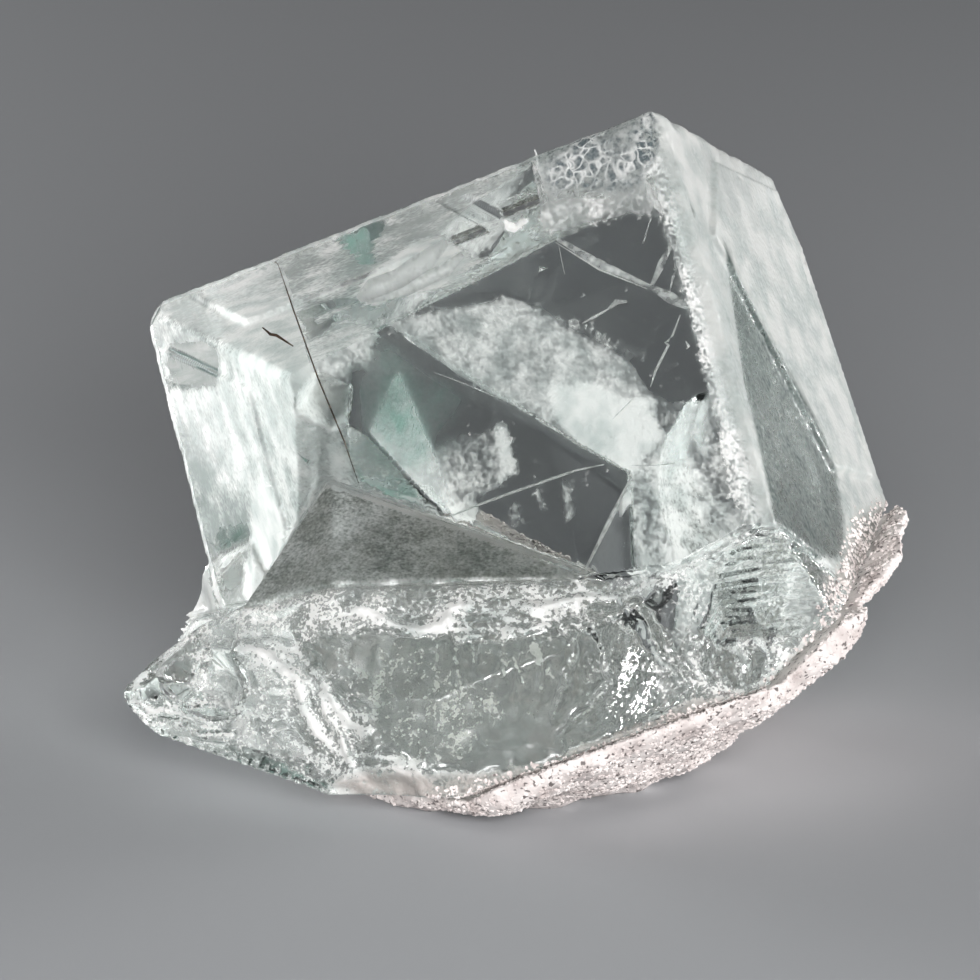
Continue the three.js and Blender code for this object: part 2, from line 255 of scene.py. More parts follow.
def merged(name):
    """A CAD node's corners and its triangles, with doubled corners merged."""
    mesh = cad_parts[name].data
    corners = np.empty(len(mesh.vertices) * 3, np.float32)
    mesh.vertices.foreach_get("co", corners)
    mesh.calc_loop_triangles()
    triangles = np.empty(len(mesh.loop_triangles) * 3, np.int32)
    mesh.loop_triangles.foreach_get("vertices", triangles)
    places = np.round(corners.reshape(-1, 3) / MM, MERGE_DIGITS)
    kept, index = np.unique(places, axis=0, return_inverse=True)
    return kept.astype(np.float32), index.ravel()[triangles].reshape(-1, 3).astype(np.uint32)


def carved(name, voxel, band, depth_at):
    """A CAD node's surface moved inwards by depth_at(points, normals), as corners and quads."""
    corners, triangles = merged(name)
    grid = openvdb.FloatGrid.createLevelSetFromPolygons(
        corners,
        triangles=triangles,
        transform=openvdb.createLinearTransform(voxel),
        halfWidth=band / voxel + BAND_CELLS,
    )
    low, high = (np.array(end) for end in grid.evalActiveVoxelBoundingBox())
    low, high = low - MARGIN_CELLS, high + MARGIN_CELLS
    field = np.empty(high - low + 1, np.float32)
    grid.copyToArray(field, ijk=tuple(int(i) for i in low))
    cells = np.argwhere(np.abs(field) < band)
    slope = np.empty((len(cells), 3), np.float32)
    for axis in range(3):
        step = np.eye(3, dtype=int)[axis]
        slope[:, axis] = field[tuple((cells + step).T)] - field[tuple((cells - step).T)]
    slope /= np.linalg.norm(slope, axis=1, keepdims=True) + TINY
    field[tuple(cells.T)] += depth_at((cells + low) * voxel, slope)
    grid.copyFromArray(field, ijk=tuple(int(i) for i in low))
    points, _, quads = grid.convertToPolygons(isovalue=0.0, adaptivity=0.0)
    return largest_part(points, quads.astype(np.int64))


def largest_part(points, faces):
    """Leaves out crumbs: the faces and corners of the largest connected part."""
    label = np.arange(len(points))
    while True:
        least = label[faces].min(1)
        new = label.copy()
        for k in range(faces.shape[1]):
            np.minimum.at(new, faces[:, k], least)
        new = new[new]
        if (new == label).all():
            break
        label = new
    values, counts = np.unique(label, return_counts=True)
    keep = label == values[counts.argmax()]
    index = np.cumsum(keep) - 1
    return points[keep], index[faces[keep[faces[:, 0]]]]


def outwards(points, faces):
    """The faces, turned round if they enclose a negative volume."""
    a, b, c = (points[faces[:, k]].astype(float) for k in range(3))
    return faces if (a * np.cross(b, c)).sum() > 0 else faces[:, ::-1].copy()


def mesh_object(name, points, faces):
    """A mesh object at the origin, from its corners and faces."""
    mesh = bpy.data.meshes.new(name)
    sides = faces.shape[1]
    mesh.vertices.add(len(points))
    mesh.vertices.foreach_set("co", (np.asarray(points, np.float32) * MM).ravel())
    mesh.loops.add(faces.size)
    mesh.loops.foreach_set("vertex_index", faces.ravel().astype(np.int32))
    mesh.polygons.add(len(faces))
    mesh.polygons.foreach_set("loop_start", np.arange(0, faces.size, sides, dtype=np.int32))
    mesh.update(calc_edges=True)
    mesh.validate()
    made = bpy.data.objects.new(name, mesh)
    bpy.context.scene.collection.objects.link(made)
    return made


def thinned(made, triangles):
    """Replaces the object's mesh by one with about that many triangles, flats first, and lifts
    corners that this has pushed under the table."""
    count = sum(len(face.vertices) - 2 for face in made.data.polygons)
    modifier = made.modifiers.new("thin", "DECIMATE")
    modifier.ratio = min(1.0, triangles / count)
    modifier.use_collapse_triangulate = True
    graph = bpy.context.evaluated_depsgraph_get()
    mesh = bpy.data.meshes.new_from_object(made.evaluated_get(graph))
    made.modifiers.remove(modifier)
    old = made.data
    made.data = mesh
    mesh.name = made.name
    bpy.data.meshes.remove(old)
    for corner in mesh.vertices:
        corner.co.z = max(corner.co.z, 0)


def short_edges(made, longest):
    """Splits edges until none is longer than that, so values at corners follow patterns."""
    work = bmesh.new()
    work.from_mesh(made.data)
    for _ in range(SPLIT_ROUNDS):
        long = [edge for edge in work.edges if edge.calc_length() > longest * MM]
        if not long:
            break
        bmesh.ops.subdivide_edges(work, edges=long, cuts=1)
        bmesh.ops.triangulate(work, faces=[f for f in work.faces if len(f.verts) > 3])
    work.to_mesh(made.data)
    work.free()


def smooth_shaded(made):
    """Shades the object's faces as one rounded surface."""
    made.data.polygons.foreach_set("use_smooth", np.ones(len(made.data.polygons), bool))


def corners_of(made):
    """The places and normals of an object's corners."""
    places = np.empty(len(made.data.vertices) * 3, np.float32)
    made.data.vertices.foreach_get("co", places)
    normals = np.empty(len(made.data.vertices) * 3, np.float32)
    made.data.vertices.foreach_get("normal", normals)
    return places.reshape(-1, 3).astype(float) / MM, normals.reshape(-1, 3).astype(float)


def store(made, name, values, kind="FLOAT", field="value"):
    """Keeps a value for each corner as an attribute of the mesh."""
    layer = made.data.attributes.new(name, kind, "POINT")
    layer.data.foreach_set(field, np.asarray(values, np.float32).ravel())


# ---- Colours and nodes -------------------------------------------------------------------


def linear(code):
    """A linear colour from an sRGB hex value."""
    parts = [int(code[i : i + 2], 16) / 255 for i in (1, 3, 5)]
    return [c / 12.92 if c <= 0.04045 else ((c + 0.055) / 1.055) ** 2.4 for c in parts]


def add(tree, kind, inputs=None, out=0, **settings):
    """Adds a node, with its settings, sets or links its inputs, and gives one of its outputs."""
    made = tree.nodes.new(kind)
    for name, value in settings.items():
        setattr(made, name, value)
    for key, value in (inputs or {}).items():
        if isinstance(value, bpy.types.NodeSocket):
            tree.links.new(value, made.inputs[key])
        else:
            made.inputs[key].default_value = value
    return made.outputs[out] if made.outputs else None


def blank_material(name):
    """A new material with an empty node tree, and that tree."""
    material = bpy.data.materials.new(name)
    material.use_nodes = True
    material.node_tree.nodes.clear()
    return material, material.node_tree


# ---- Sizes and colours -------------------------------------------------------------------


def panel_length(name, description, default):
    """A length in metres for the panel, from its default in millimetres."""
    return bpy.props.FloatProperty(
        name=name,
        description=description,
        default=default * MM,
        min=0.02 * MM,
        max=0.5 * MM,
        precision=6,
        unit="LENGTH",
    )


def in_mm(metres):
    """A length from the panel in millimetres, to the seven digits that the panel keeps."""
    return float(np.float32(metres / MM))


def panel_colour(name, description, code):
    """A colour for the panel, from its default as an sRGB hex value."""
    return bpy.props.FloatVectorProperty(
        name=name, description=description, default=linear(code), min=0, max=1, subtype="COLOR"
    )


class FluoriteSizes(bpy.types.PropertyGroup):
    crystal_detail: panel_length("Crystal detail", "Finest detail of the crystal's surface", 0.15)
    rind_detail: panel_length("Rind detail", "Finest detail of the rind's surface", 0.17)
    smallest_grain: panel_length("Smallest grain", "Radius of the smallest loose grains", 0.06)
    largest_grain: panel_length("Largest grain", "Radius of the largest loose grains", 0.17)
    grain_count: bpy.props.FloatProperty(
        name="Grains", description="Grains on a square millimetre of the rind", default=11.5, min=0, max=20
    )


class FluoriteColours(bpy.types.PropertyGroup):
    crystal: panel_colour("Crystal", "What is left of white light after some depth of crystal", "#9fb3ae")
    frost: panel_colour("Frost", "Bruised and etched fluorite", "#f4f3f1")
    rind: panel_colour("Rind", "Palest part of the rind", "#e2dad7")
    floor: panel_colour("Floor", "The plain floor", "#aeb0b3")


# ---- Zones on the sheet ------------------------------------------------------------------

# The upper edge of the broken foot, left to right, and the worn ledge in front of the cube.
FOOT_TOP = [
    (60, 640), (245, 606), (330, 583), (600, 577), (680, 566), (745, 530), (780, 528), (822, 560),
    (860, 600), (960, 640),
]
LEDGE = [(325, 470), (360, 492), (600, 580), (330, 590), (240, 610), (285, 540)]
# Parts of the foot: its crusted rim, its quiet middle, the shell at its right end, beside that
# a stepped slope and a stepped facet, and the fluted fan on the left.
FOOT_RIM = [
    (330, 782), (377, 770), (430, 775), (500, 772), (560, 756), (600, 738), (660, 716), (690, 700),
    (750, 694), (790, 664), (806, 640), (830, 660), (700, 770), (520, 820), (400, 820),
]
QUIET = [
    (345, 640), (470, 642), (580, 636), (600, 700), (655, 735), (570, 780), (520, 770), (400, 760),
    (360, 700),
]
SHELL = [(703, 570), (745, 540), (785, 538), (815, 556), (822, 600), (800, 636), (730, 640)]
SLOPE = [(586, 597), (622, 597), (655, 650), (685, 695), (655, 735), (600, 730), (612, 690)]
FACET = [(668, 588), (700, 580), (722, 620), (728, 655), (700, 660)]
FAN = [(243, 640), (330, 600), (380, 680), (440, 820), (300, 790), (262, 700)]
# Parts of the front face: the etched patch at its top and the granular strip along its right
# edge.
ETCHED = [
    (535, 148), (600, 122), (650, 106), (662, 136), (655, 160), (645, 174), (640, 192), (600, 194),
    (577, 188), (549, 200),
]
STRIP = [
    (640, 105), (662, 112), (690, 230), (724, 370), (768, 520), (742, 524), (712, 410), (684, 296),
    (660, 200), (640, 150),
]
# The frosted leaf on the right face; its frost is tinted dark green-grey as painted shade.
LEAF = [
    (724, 240), (740, 280), (770, 338), (800, 389), (822, 430), (836, 470), (843, 520), (843, 556),
    (800, 560), (775, 520), (758, 440), (744, 380),
]
# What the front face shows of the surfaces behind it: the frosted zone on the left, the milky
# arc and the green window.
LEFT_ZONE = [(130, 260), (280, 250), (357, 482), (300, 640), (150, 640)]
ARC = [
    (378, 318), (430, 306), (500, 292), (548, 306), (592, 332), (628, 356), (655, 392), (640, 470),
    (560, 418), (470, 376), (400, 330),
]
GREEN = [
    (347, 455), (342, 430), (344, 388), (348, 368), (368, 361), (372, 340), (376, 319), (460, 373),
    (503, 398), (440, 450), (400, 474),
]


# ---- The broken foot ---------------------------------------------------------------------

# Crests and cracks on the foot: path on the sheet, half width there, height in mm and how
# white it is.
STROKES = [
    # Down the left fan.
    ([(243, 647), (267, 657), (290, 677), (307, 707), (325, 747)], 5, 0.34, 0.95),
    ([(262, 640), (285, 655), (300, 680), (318, 700)], 4, 0.22, 0.7),
    ([(313, 670), (330, 693), (347, 723), (367, 733)], 5, 0.32, 0.95),
    ([(323, 693), (340, 747), (347, 760)], 4, 0.22, 0.8),
    # Along the lower edge.
    ([(363, 753), (385, 755), (403, 762)], 3.5, 0.2, 0.9),
    ([(363, 767), (395, 768), (417, 777), (423, 790)], 3.5, 0.2, 0.9),
    ([(330, 782), (355, 785), (377, 800)], 7, 0.15, 0.9),
    ([(437, 775), (470, 778), (497, 772)], 5, 0.15, 0.85),
    ([(480, 790), (497, 800)], 7, 0.15, 0.9),
    ([(512, 765), (525, 775)], 5, 0.12, 0.85),
    # Along the upper edge.
    ([(250, 612), (300, 606), (340, 600)], 4, 0.15, 0.5),
    ([(357, 612), (385, 620), (417, 634)], 5, 0.22, 0.95),
    ([(417, 632), (440, 628), (452, 612), (470, 604)], 6, 0.25, 0.95),
    ([(455, 640), (484, 637)], 3, 0.2, 1.0),
    ([(503, 633), (530, 630), (550, 622)], 3, 0.2, 0.8),
    ([(525, 606), (545, 603), (580, 597), (660, 588)], 4, 0.2, 0.8),
    # Beside the stepped slope.
    ([(584, 598), (600, 640), (612, 680), (596, 700), (575, 716), (563, 735),
      (567, 770)], 3.5, 0.24, 0.55),
    ([(560, 610), (572, 650), (560, 700), (557, 720)], 3, 0.16, 0.5),
    ([(623, 597), (645, 625), (660, 653), (687, 690)], 8, 0.26, 0.32),
    # Round the shell at the right end.
    ([(643, 582), (693, 563), (733, 543), (760, 534), (780, 535), (807, 552)], 3, 0.2, 0.45),
    ([(812, 550), (835, 574)], 2.5, 0.15, 0.9),
    # On the lobes under it.
    ([(690, 655), (700, 680), (730, 700), (765, 690), (790, 655)], 4, 0.22, 0.7),
    ([(740, 640), (752, 665), (745, 690)], 3, 0.16, 0.6),
    ([(762, 640), (775, 655), (770, 680)], 3, 0.16, 0.6),
    # On the knob and behind it.
    ([(134, 690), (137, 676), (148, 668)], 4, 0.15, 0.95),
    ([(137, 690), (147, 707), (185, 712), (215, 722)], 3.5, 0.2, 0.85),
    ([(130, 700), (150, 722), (190, 728), (230, 738)], 3, 0.2, 0.6),
    ([(245, 645), (262, 652), (272, 662)], 5, 0.2, 0.95),
    ([(150, 664), (180, 642), (215, 622), (240, 610)], 3, 0.12, 0.5),
    ([(230, 712), (277, 719)], 2, -0.12, 0.9),
    ([(200, 655), (205, 685), (190, 700)], 5, 0.2, 0.45),
    # A long low crest at the bottom.
    ([(290, 742), (330, 770), (380, 790), (450, 800), (540, 795)], 6, 0.12, 0.7),
    # Short cracks and two white spots in the quiet middle.
    ([(433, 643), (434, 665), (436, 690)], 1.6, -0.12, 0.95),
    ([(452, 645), (458, 668), (465, 694)], 1.8, -0.12, 0.95),
    ([(472, 643), (478, 663)], 1.5, -0.1, 0.9),
    ([(503, 660), (507, 677)], 1.8, -0.1, 0.9),
    ([(513, 657), (523, 685)], 1.8, -0.1, 0.95),
    ([(548, 663), (553, 678)], 1.6, -0.1, 0.9),
    ([(380, 660), (383, 690)], 1.5, -0.1, 0.7),
    ([(492, 695), (500, 713)], 1.6, -0.1, 0.8),
    ([(532, 648), (540, 660)], 6, 0.05, 1.0),
    ([(541, 684), (544, 687)], 3, 0.05, 1.0),
]
# Where the foot is bruised: how milky and how matt, softness and corners on the sheet.
FOOT_PATCHES = [
    # The left, the upper edge and the quiet middle.
    (0.3, 0.22, 12, [(110, 640), (245, 606), (330, 600), (345, 690), (420, 820), (300, 820), (110, 740)]),
    (0.48, 0.45, 8, [(240, 606), (330, 586), (600, 578), (690, 566), (690, 590), (600, 606), (480, 636),
     (360, 628), (240, 636)]),
    (0.16, 0.3, 9, [(345, 640), (470, 642), (580, 636), (600, 700), (570, 780), (520, 770), (360, 700)]),
    (0.33, 0.5, 14, [(370, 670), (440, 655), (520, 715), (500, 750), (430, 765), (360, 740)]),
    (0.08, 0.42, 6, [(480, 735), (560, 700), (575, 760), (520, 790), (470, 770)]),
    # The stepped slope, the facet and the shell.
    (0.06, 0.08, 4, SLOPE),
    (0.2, 0.12, 4, FACET),
    (0.42, 0.14, 4, SHELL),
    (0.06, 0.08, 4, [(788, 565), (818, 560), (824, 610), (800, 634), (786, 620)]),
    (0.34, 0.1, 6, [(690, 640), (795, 630), (800, 655), (740, 705), (700, 700)]),
    # Two clear spots on the left.
    (0.03, 0.03, 6, [(147, 657), (175, 648), (192, 660), (190, 690), (160, 692), (146, 678)]),
    (0.06, 0.04, 6, [(210, 647), (235, 640), (246, 655), (240, 680), (212, 682)]),
    # A bright spot beside the slope, and the crusted rim.
    (0.3, 0.5, 4, [(653, 665), (668, 658), (685, 693), (660, 700)]),
    (0.74, 0.7, 5, FOOT_RIM),
]
# Shells where the foot broke: how their pattern lies, width and seed of the hollows, their
# relief and how far they stand out in mm, how white the crests are, and whether only in
# patches, then softness and corners of the zone.
SHELLS = [
    ("fluted", 1.5, 31, 0.42, 0.16, 0.55, True, 18, FAN),
    ("small", 17, 33, 0.06, 0.0, 0.1, False, 18, FAN),
    ("rippled", 0.9, 35, 0.20, 0.06, 0.35, True, 16, [(110, 640), (243, 606), (262, 700), (330, 800),
     (300, 820), (110, 750)]),
    ("small", 17, 33, 0.14, 0.05, 0.25, True, 14, [(330, 700), (600, 715), (600, 840), (330, 840)]),
    ("flaky", 34, 37, 0.30, 0.12, 0.5, True, 8, [(240, 605), (600, 575), (690, 590), (600, 632),
     (360, 640), (240, 640)]),
    ("domed", 30, 39, 0.42, 0.15, 0.3, False, 8, [(690, 640), (795, 628), (800, 660), (730, 712)]),
]
FLUTES = (58, 2.6)  # how hollows run in degrees on the sheet, and their length for their width
RIPPLES = (22, 2.2)
FLAKES = (1, 2.6)  # flakes are wide and low: how much closer they lie across and down
SMALL_SHIFT = 3
PATCHES = (1.7, 23)  # width and seed of the patches where crests are white, and their ramp
PATCH_RAMP = (-0.2, 0.5)
# Small cleavage steps: how they run in degrees and their spacing on the sheet, their height
# in mm, and corners of the zone.
STEPS = [(27, 7.0, 0.11, SLOPE), (30, 7.0, 0.12, FACET), (84, 9.5, 0.13, SHELL)]
STEP_SOFT, STEP_CREST, STEP_WHITE = 4, 0.88, 0.3
# The quiet middle has low steps of its own: angle, spacing, sharpness, height in mm, softness.
LOW_STEPS = (8, 21, 0.9)
LOW_HEIGHT, LOW_SOFT = 0.07, 10
LOW_ZONE = [(345, 645), (580, 636), (600, 715), (400, 715)]

WANDER = (5, 34.0, (11, 12))  # how far outlines on the foot wander, in what width, and seeds
RAGGED = (2.4, 7.0, (13, 14))
FOOT_DEPTH = 0.34  # how deep the foot is carved on the whole
FOOT_BUMPS = [(0.07, 2.6, 21), (0.03, 0.9, 22)]
FOOT_MILK, FOOT_MATT = 0.2, 0.2
STROKE_WIDTH = 0.8  # a stroke fades out over this share of its width
DEEPEST = 0.9  # nothing is carved deeper than this
FOOT_EDGE = (-4, 6)  # the foot begins over these distances below its upper edge, on the sheet
FOOT_FACING = (0.05, 0.4)  # and over these cosines of how squarely it faces the camera
ON_FOOT = 0.01  # the least weight that counts as foot


def foot_weight(places, normals):
    """1 on the foot's visible surface, below the cube's faces, and 0 elsewhere."""
    below = places[:, 1] - np.interp(places[:, 0], *np.array(FOOT_TOP, float).T)
    return smooth(below, *FOOT_EDGE) * smooth(-normals @ LOOK, *FOOT_FACING)


def foot_look(places, points):
    """How deep the broken foot is carved, how milky and how matt it is, from the sheet."""
    wander = places + drift(places, *WANDER)
    ragged = wander + drift(places, *RAGGED)
    depth = layered(points, FOOT_BUMPS, FOOT_DEPTH)
    milk = np.full(len(places), FOOT_MILK)
    matt = np.full(len(places), FOOT_MATT)
    for level, dull, soft, corners in FOOT_PATCHES:
        share = inside(wander, corners, soft)
        milk += (level - milk) * share
        matt += (dull - matt) * share
    patches = smooth(bumps(points, *PATCHES), *PATCH_RAMP)
    lie = {
        "fluted": grain_of(wander, *FLUTES),
        "rippled": grain_of(wander, *RIPPLES),
        "small": wander + SMALL_SHIFT,
        "flaky": wander * FLAKES,
        "domed": wander,
    }
    for pattern, width, seed, relief, raised, white, patchy, soft, corners in SHELLS:
        share = inside(places, corners, soft)
        hollow, crest = scallops(lie[pattern], width, seed)
        depth += share * (relief * hollow - raised)
        milk += share * white * crest * (patches if patchy else 1)
    depth += inside(places, LOW_ZONE, LOW_SOFT) * LOW_HEIGHT * (saw(wander, *LOW_STEPS) - 0.5)
    for angle, spacing, height, corners in STEPS:
        share = inside(wander, corners, STEP_SOFT)
        wave = saw(wander, angle, spacing)
        depth += share * height * (wave - 0.5)
        milk += share * STEP_WHITE * (wave > STEP_CREST) * patches
    for path, width, height, white in STROKES:
        share = np.exp(-((along(ragged, path) / (STROKE_WIDTH * width)) ** 2))
        depth -= height * share
        milk += (white - milk) * share
    return np.clip(depth, 0, DEEPEST), np.clip(milk, 0, 1), np.clip(matt, 0, 1)


# ---- The crystal's relief ----------------------------------------------------------------

# Where the broken back is clean and smooth, as the front face shows it.
CLEAN = [
    (1.0, 3, [(376, 319), (390, 322), (583, 443), (635, 471), (639, 578), (560, 566), (357, 482),
     (342, 430), (348, 368)]),
    (1.0, 8, [(480, 262), (545, 236), (650, 196), (672, 218), (722, 392), (655, 388), (590, 328),
     (482, 284)]),
]
CLEAN_SHARE = 0.9
# Chips along the cube's edges: how deep in mm, width and seed of large ones and of nicks, and
# of the places where large ones are.
CHIPS, NICKS, CHIP_PLACES = (0.30, 1.1, 41), (0.09, 0.45, 42), (4.0, 43)
CHIP_RAMP = (-0.2, 0.6)
MORE_NICKS = 0.2
CHIP_REACH = 0.55
EDGE_NEAR = (1.2, 2.2)  # chips are only this near an edge's two faces
FOOT_FRONT = -0.6  # further forward than this, in the cube's frame, it is all foot
# The broken back: large shells and finer bumps.
BACK_SHELLS = (0.24, 4.4, 51)
BACK_BUMPS = [(0.09, 2.2, 52), (0.025, 0.6, 53)]
BACK_DEPTH = 0.12
BACK_RAMP = (0.5, 1.3)  # the back's relief comes in over these distances from the flat faces
BACK_FRONT = 0.5  # and starts this far behind the front face
BACK_PLANE = np.array([[1.0, 0.1], [0.2, 0.3], [0.1, 1.0]])  # the shells' pattern lies in it
# The ledge: its grain, how far it is in front of the cube, softness and how it faces.
LEDGE_GRAIN = (0.05, 0.55, 61)
LEDGE_FRONT, LEDGE_SOFT, LEDGE_FACING = -0.3, 3, (0, 0.3)


def crystal_depth(points, normals):
    """How far wear and breaking have moved the crystal's surface inwards."""
    cube, places = cube_of(points), sheet_of(points)
    depth = np.zeros(len(points))
    foot = foot_weight(places, normals) > ON_FOOT
    weight = foot_weight(places[foot], normals[foot])
    depth[foot] = weight * foot_look(places[foot], points[foot])[0]
    # The cube's flat faces stay flat, apart from chips along their edges.
    walls = walls_of(cube)
    in_front = (cube[:, 1] > FOOT_FRONT) & ~foot
    edge = in_front & (walls[:, 0] < EDGE_NEAR[0]) & (walls[:, 1] < EDGE_NEAR[1])
    rare = smooth(bumps(points[edge], *CHIP_PLACES), *CHIP_RAMP)
    chips = CHIPS[0] * rare * np.clip(bumps(points[edge], *CHIPS[1:]), 0, 1)
    chips += NICKS[0] * np.clip(bumps(points[edge], *NICKS[1:]) + MORE_NICKS, 0, 1)
    depth[edge] += chips * np.exp(-((walls[edge, 1] / CHIP_REACH) ** 2))
    back = ~foot & (walls[:, 0] > BACK_RAMP[0]) & (cube[:, 1] > BACK_FRONT)
    shells = BACK_SHELLS[0] * scallops(points[back] @ BACK_PLANE, *BACK_SHELLS[1:])[0]
    broken = layered(points[back], BACK_BUMPS, shells) + BACK_DEPTH
    clean = 1 - CLEAN_SHARE * zoned(shown_in_front(cube[back]), CLEAN, 0.0)
    depth[back] += broken * clean * smooth(walls[back, 0], *BACK_RAMP)
    # The worn ledge in front of the cube is only grainy.
    ledge = inside(places, LEDGE, LEDGE_SOFT) * (cube[:, 1] < LEDGE_FRONT)
    ledge = ledge * smooth(-normals @ LOOK, *LEDGE_FACING)
    depth += ledge * LEDGE_GRAIN[0] * (1 + bumps(points, *LEDGE_GRAIN[1:]))
    return np.clip(depth, 0, DEEPEST).astype(np.float32)


# ---- Frost -------------------------------------------------------------------------------

# How frosted the surfaces behind the front face are: level, softness and corners of each zone,
# where the front face shows it on the sheet. Later zones lie over earlier ones.
FAR_FROST = [
    # The left zone, with its white and clear patches.
    (0.7, 10, LEFT_ZONE),
    (0.46, 9, [(140, 290), (215, 268), (225, 335), (150, 350)]),
    (1.0, 10, [(215, 305), (295, 292), (305, 372), (235, 375)]),
    (0.1, 5, [(165, 346), (213, 340), (210, 383), (172, 388)]),
    (0.4, 7, [(172, 410), (192, 430), (215, 478), (245, 500), (243, 605), (200, 610)]),
    (0.18, 4, [(216, 535), (246, 528), (244, 580), (222, 590)]),
    (1.0, 4, [(247, 492), (262, 483), (296, 560), (262, 604), (243, 606)]),
    # Between that zone and the windows.
    (0.62, 5, [(292, 332), (372, 320), (366, 362), (346, 368), (342, 432), (322, 400)]),
    (0.98, 2, [(307, 364), (314, 372), (319, 394), (308, 388)]),
    (1.0, 2, [(320, 444), (333, 432), (356, 484), (325, 476)]),
    # The top band, with a green gap and clear slits.
    (0.5, 6, [(270, 250), (470, 170), (540, 145), (540, 165), (450, 225), (360, 262), (290, 300)]),
    (0.02, 2, [(333, 224), (362, 214), (388, 222), (371, 243), (368, 266), (357, 262), (342, 244)]),
    (0.12, 5, [(440, 228), (470, 205), (540, 158), (550, 196), (535, 240), (500, 254), (468, 248)]),
    (0.02, 3, [(292, 306), (340, 292), (360, 298), (440, 283), (492, 276), (498, 300), (440, 312),
     (380, 322), (346, 315), (302, 334)]),
    (0.55, 2, [(306, 312), (345, 300), (352, 305), (312, 318)]),
    (0.3, 6, [(445, 255), (500, 250), (540, 262), (545, 290), (495, 292)]),
    # The dark window, and the white veil left of it.
    (0.0, 5, [(480, 262), (545, 236), (560, 228), (600, 208), (650, 196), (672, 218), (695, 300),
     (722, 392), (690, 398), (655, 388), (628, 352), (590, 328), (548, 302), (516, 290), (482, 284)]),
    (1.0, 3, [(353, 297), (360, 280), (377, 265), (413, 241), (443, 229), (452, 240), (467, 250),
     (450, 274), (423, 288), (397, 293), (371, 305)]),
    # The milky arc, its greyer rim and its white lower end.
    (0.6, 9, ARC),
    (0.36, 3, [(526, 286), (556, 296), (590, 318), (630, 334), (654, 352), (650, 362), (622, 348),
     (584, 330), (545, 306)]),
    (1.0, 4, [(553, 388), (566, 379), (600, 382), (633, 396), (660, 396), (676, 416), (674, 434),
     (648, 454), (638, 472), (608, 456), (582, 440), (560, 418)]),
    # Below the arc and right of it.
    (0.42, 6, [(655, 392), (722, 396), (745, 470), (752, 520), (716, 480), (668, 432)]),
    (0.7, 6, [(640, 474), (676, 440), (716, 484), (748, 522), (720, 570), (640, 580)]),
    (0.4, 4, [(700, 440), (722, 450), (738, 490), (722, 486)]),
]
# What shows in the clean windows, the same way.
FAR_WINDOWS = [
    # The green window: clear, with haze and a pale facet on its left.
    (0.03, 1.5, [(376, 319), (390, 322), (460, 373), (503, 398), (533, 410), (583, 443), (635, 471),
     (639, 578), (560, 566), (450, 530), (357, 482), (347, 455), (342, 430), (344, 388), (348, 368),
     (368, 361), (372, 340)]),
    (0.44, 24, [(344, 388), (348, 368), (376, 330), (392, 335), (478, 395), (436, 450), (440, 500),
     (350, 474)]),
    (0.66, 8, [(384, 372), (404, 372), (440, 474), (420, 480), (370, 430)]),
    (0.46, 14, [(345, 442), (380, 436), (404, 452), (396, 474), (352, 478)]),
    # A bright spot.
    (0.95, 3, [(392, 416), (401, 415), (403, 424), (394, 426)]),
    # The frosted square in its middle, with a bright edge and foot.
    (0.5, 7, [(430, 470), (427, 455), (445, 440), (458, 431), (480, 430), (498, 419), (514, 445),
     (515, 470), (502, 488), (470, 508), (448, 514), (436, 498)]),
    (1.0, 3, [(497, 418), (504, 418), (513, 444), (515, 474), (504, 480), (499, 450)]),
    (0.8, 3, [(447, 508), (470, 500), (480, 512), (470, 530), (450, 522)]),
    # Small spots and a bright sliver.
    (0.62, 5, [(564, 476), (576, 478), (577, 520), (566, 524)]),
    (0.5, 5, [(509, 503), (522, 503), (523, 530), (511, 531)]),
    (0.45, 4, [(536, 484), (546, 482), (550, 512), (541, 516)]),
    (0.75, 1.5, [(620, 506), (636, 480), (638, 500), (622, 524)]),
]
# Frost on the front face itself.
NEAR_FROST = [
    # Under the etched patch.
    (0.42, 5, [(534, 214), (548, 199), (600, 196), (640, 188), (658, 200), (652, 216), (625, 216),
     (590, 226), (562, 236), (540, 236)]),
    # The granular strip.
    (0.6, 3, [(650, 110), (660, 112), (690, 230), (724, 370), (768, 520), (742, 524), (716, 420),
     (686, 300), (662, 216), (645, 170)]),
    # A small white square.
    (1.0, 1.5, [(507, 225), (523, 213), (528, 224), (513, 237)]),
    # The etched patch.
    (0.56, 3, ETCHED),
]
# Frost on the right face.
RIGHT_FROST = [
    # The upper edge, the band on the right and the band along the front edge.
    (0.55, 3, [(655, 100), (800, 150), (790, 190), (713, 236), (690, 150)]),
    (0.9, 6, [(713, 222), (775, 200), (930, 560), (840, 580), (836, 468), (800, 390), (770, 340),
     (740, 280)]),
    (0.85, 5, [(655, 105), (700, 125), (713, 236), (718, 320), (757, 440), (775, 520), (760, 530),
     (700, 300)]),
    # The leaf and its upper end.
    (0.64, 2, [(713, 232), (740, 280), (770, 338), (800, 389), (822, 430), (836, 470), (843, 520),
     (843, 556), (800, 560), (775, 520), (758, 440), (730, 350), (716, 300)]),
    (0.55, 7, [(716, 246), (742, 300), (746, 340), (748, 390), (738, 390), (722, 330)]),
    # The crusted corner.
    (1.0, 4, [(846, 560), (858, 522), (900, 495), (925, 500), (925, 590), (860, 650), (808, 650),
     (824, 600)]),
]
# How the grain of the frost runs: degrees on the sheet, length for width, and corners.
GRAINS = [
    # The left zone, the top band, the arc and the green window.
    (72, 2.0, LEFT_ZONE),
    (-21, 6.0, [(215, 290), (270, 250), (545, 130), (550, 240), (440, 312), (302, 334)]),
    (24, 1.2, [(378, 318), (500, 285), (655, 380), (740, 500), (640, 580), (560, 418)]),
    (68, 2.0, [(342, 360), (376, 319), (520, 405), (520, 520), (357, 482)]),
]
RIGHT_GRAIN = (66, 4.0)
GRAIN_APART = 7.0  # keeps the noise of one grain zone away from another's
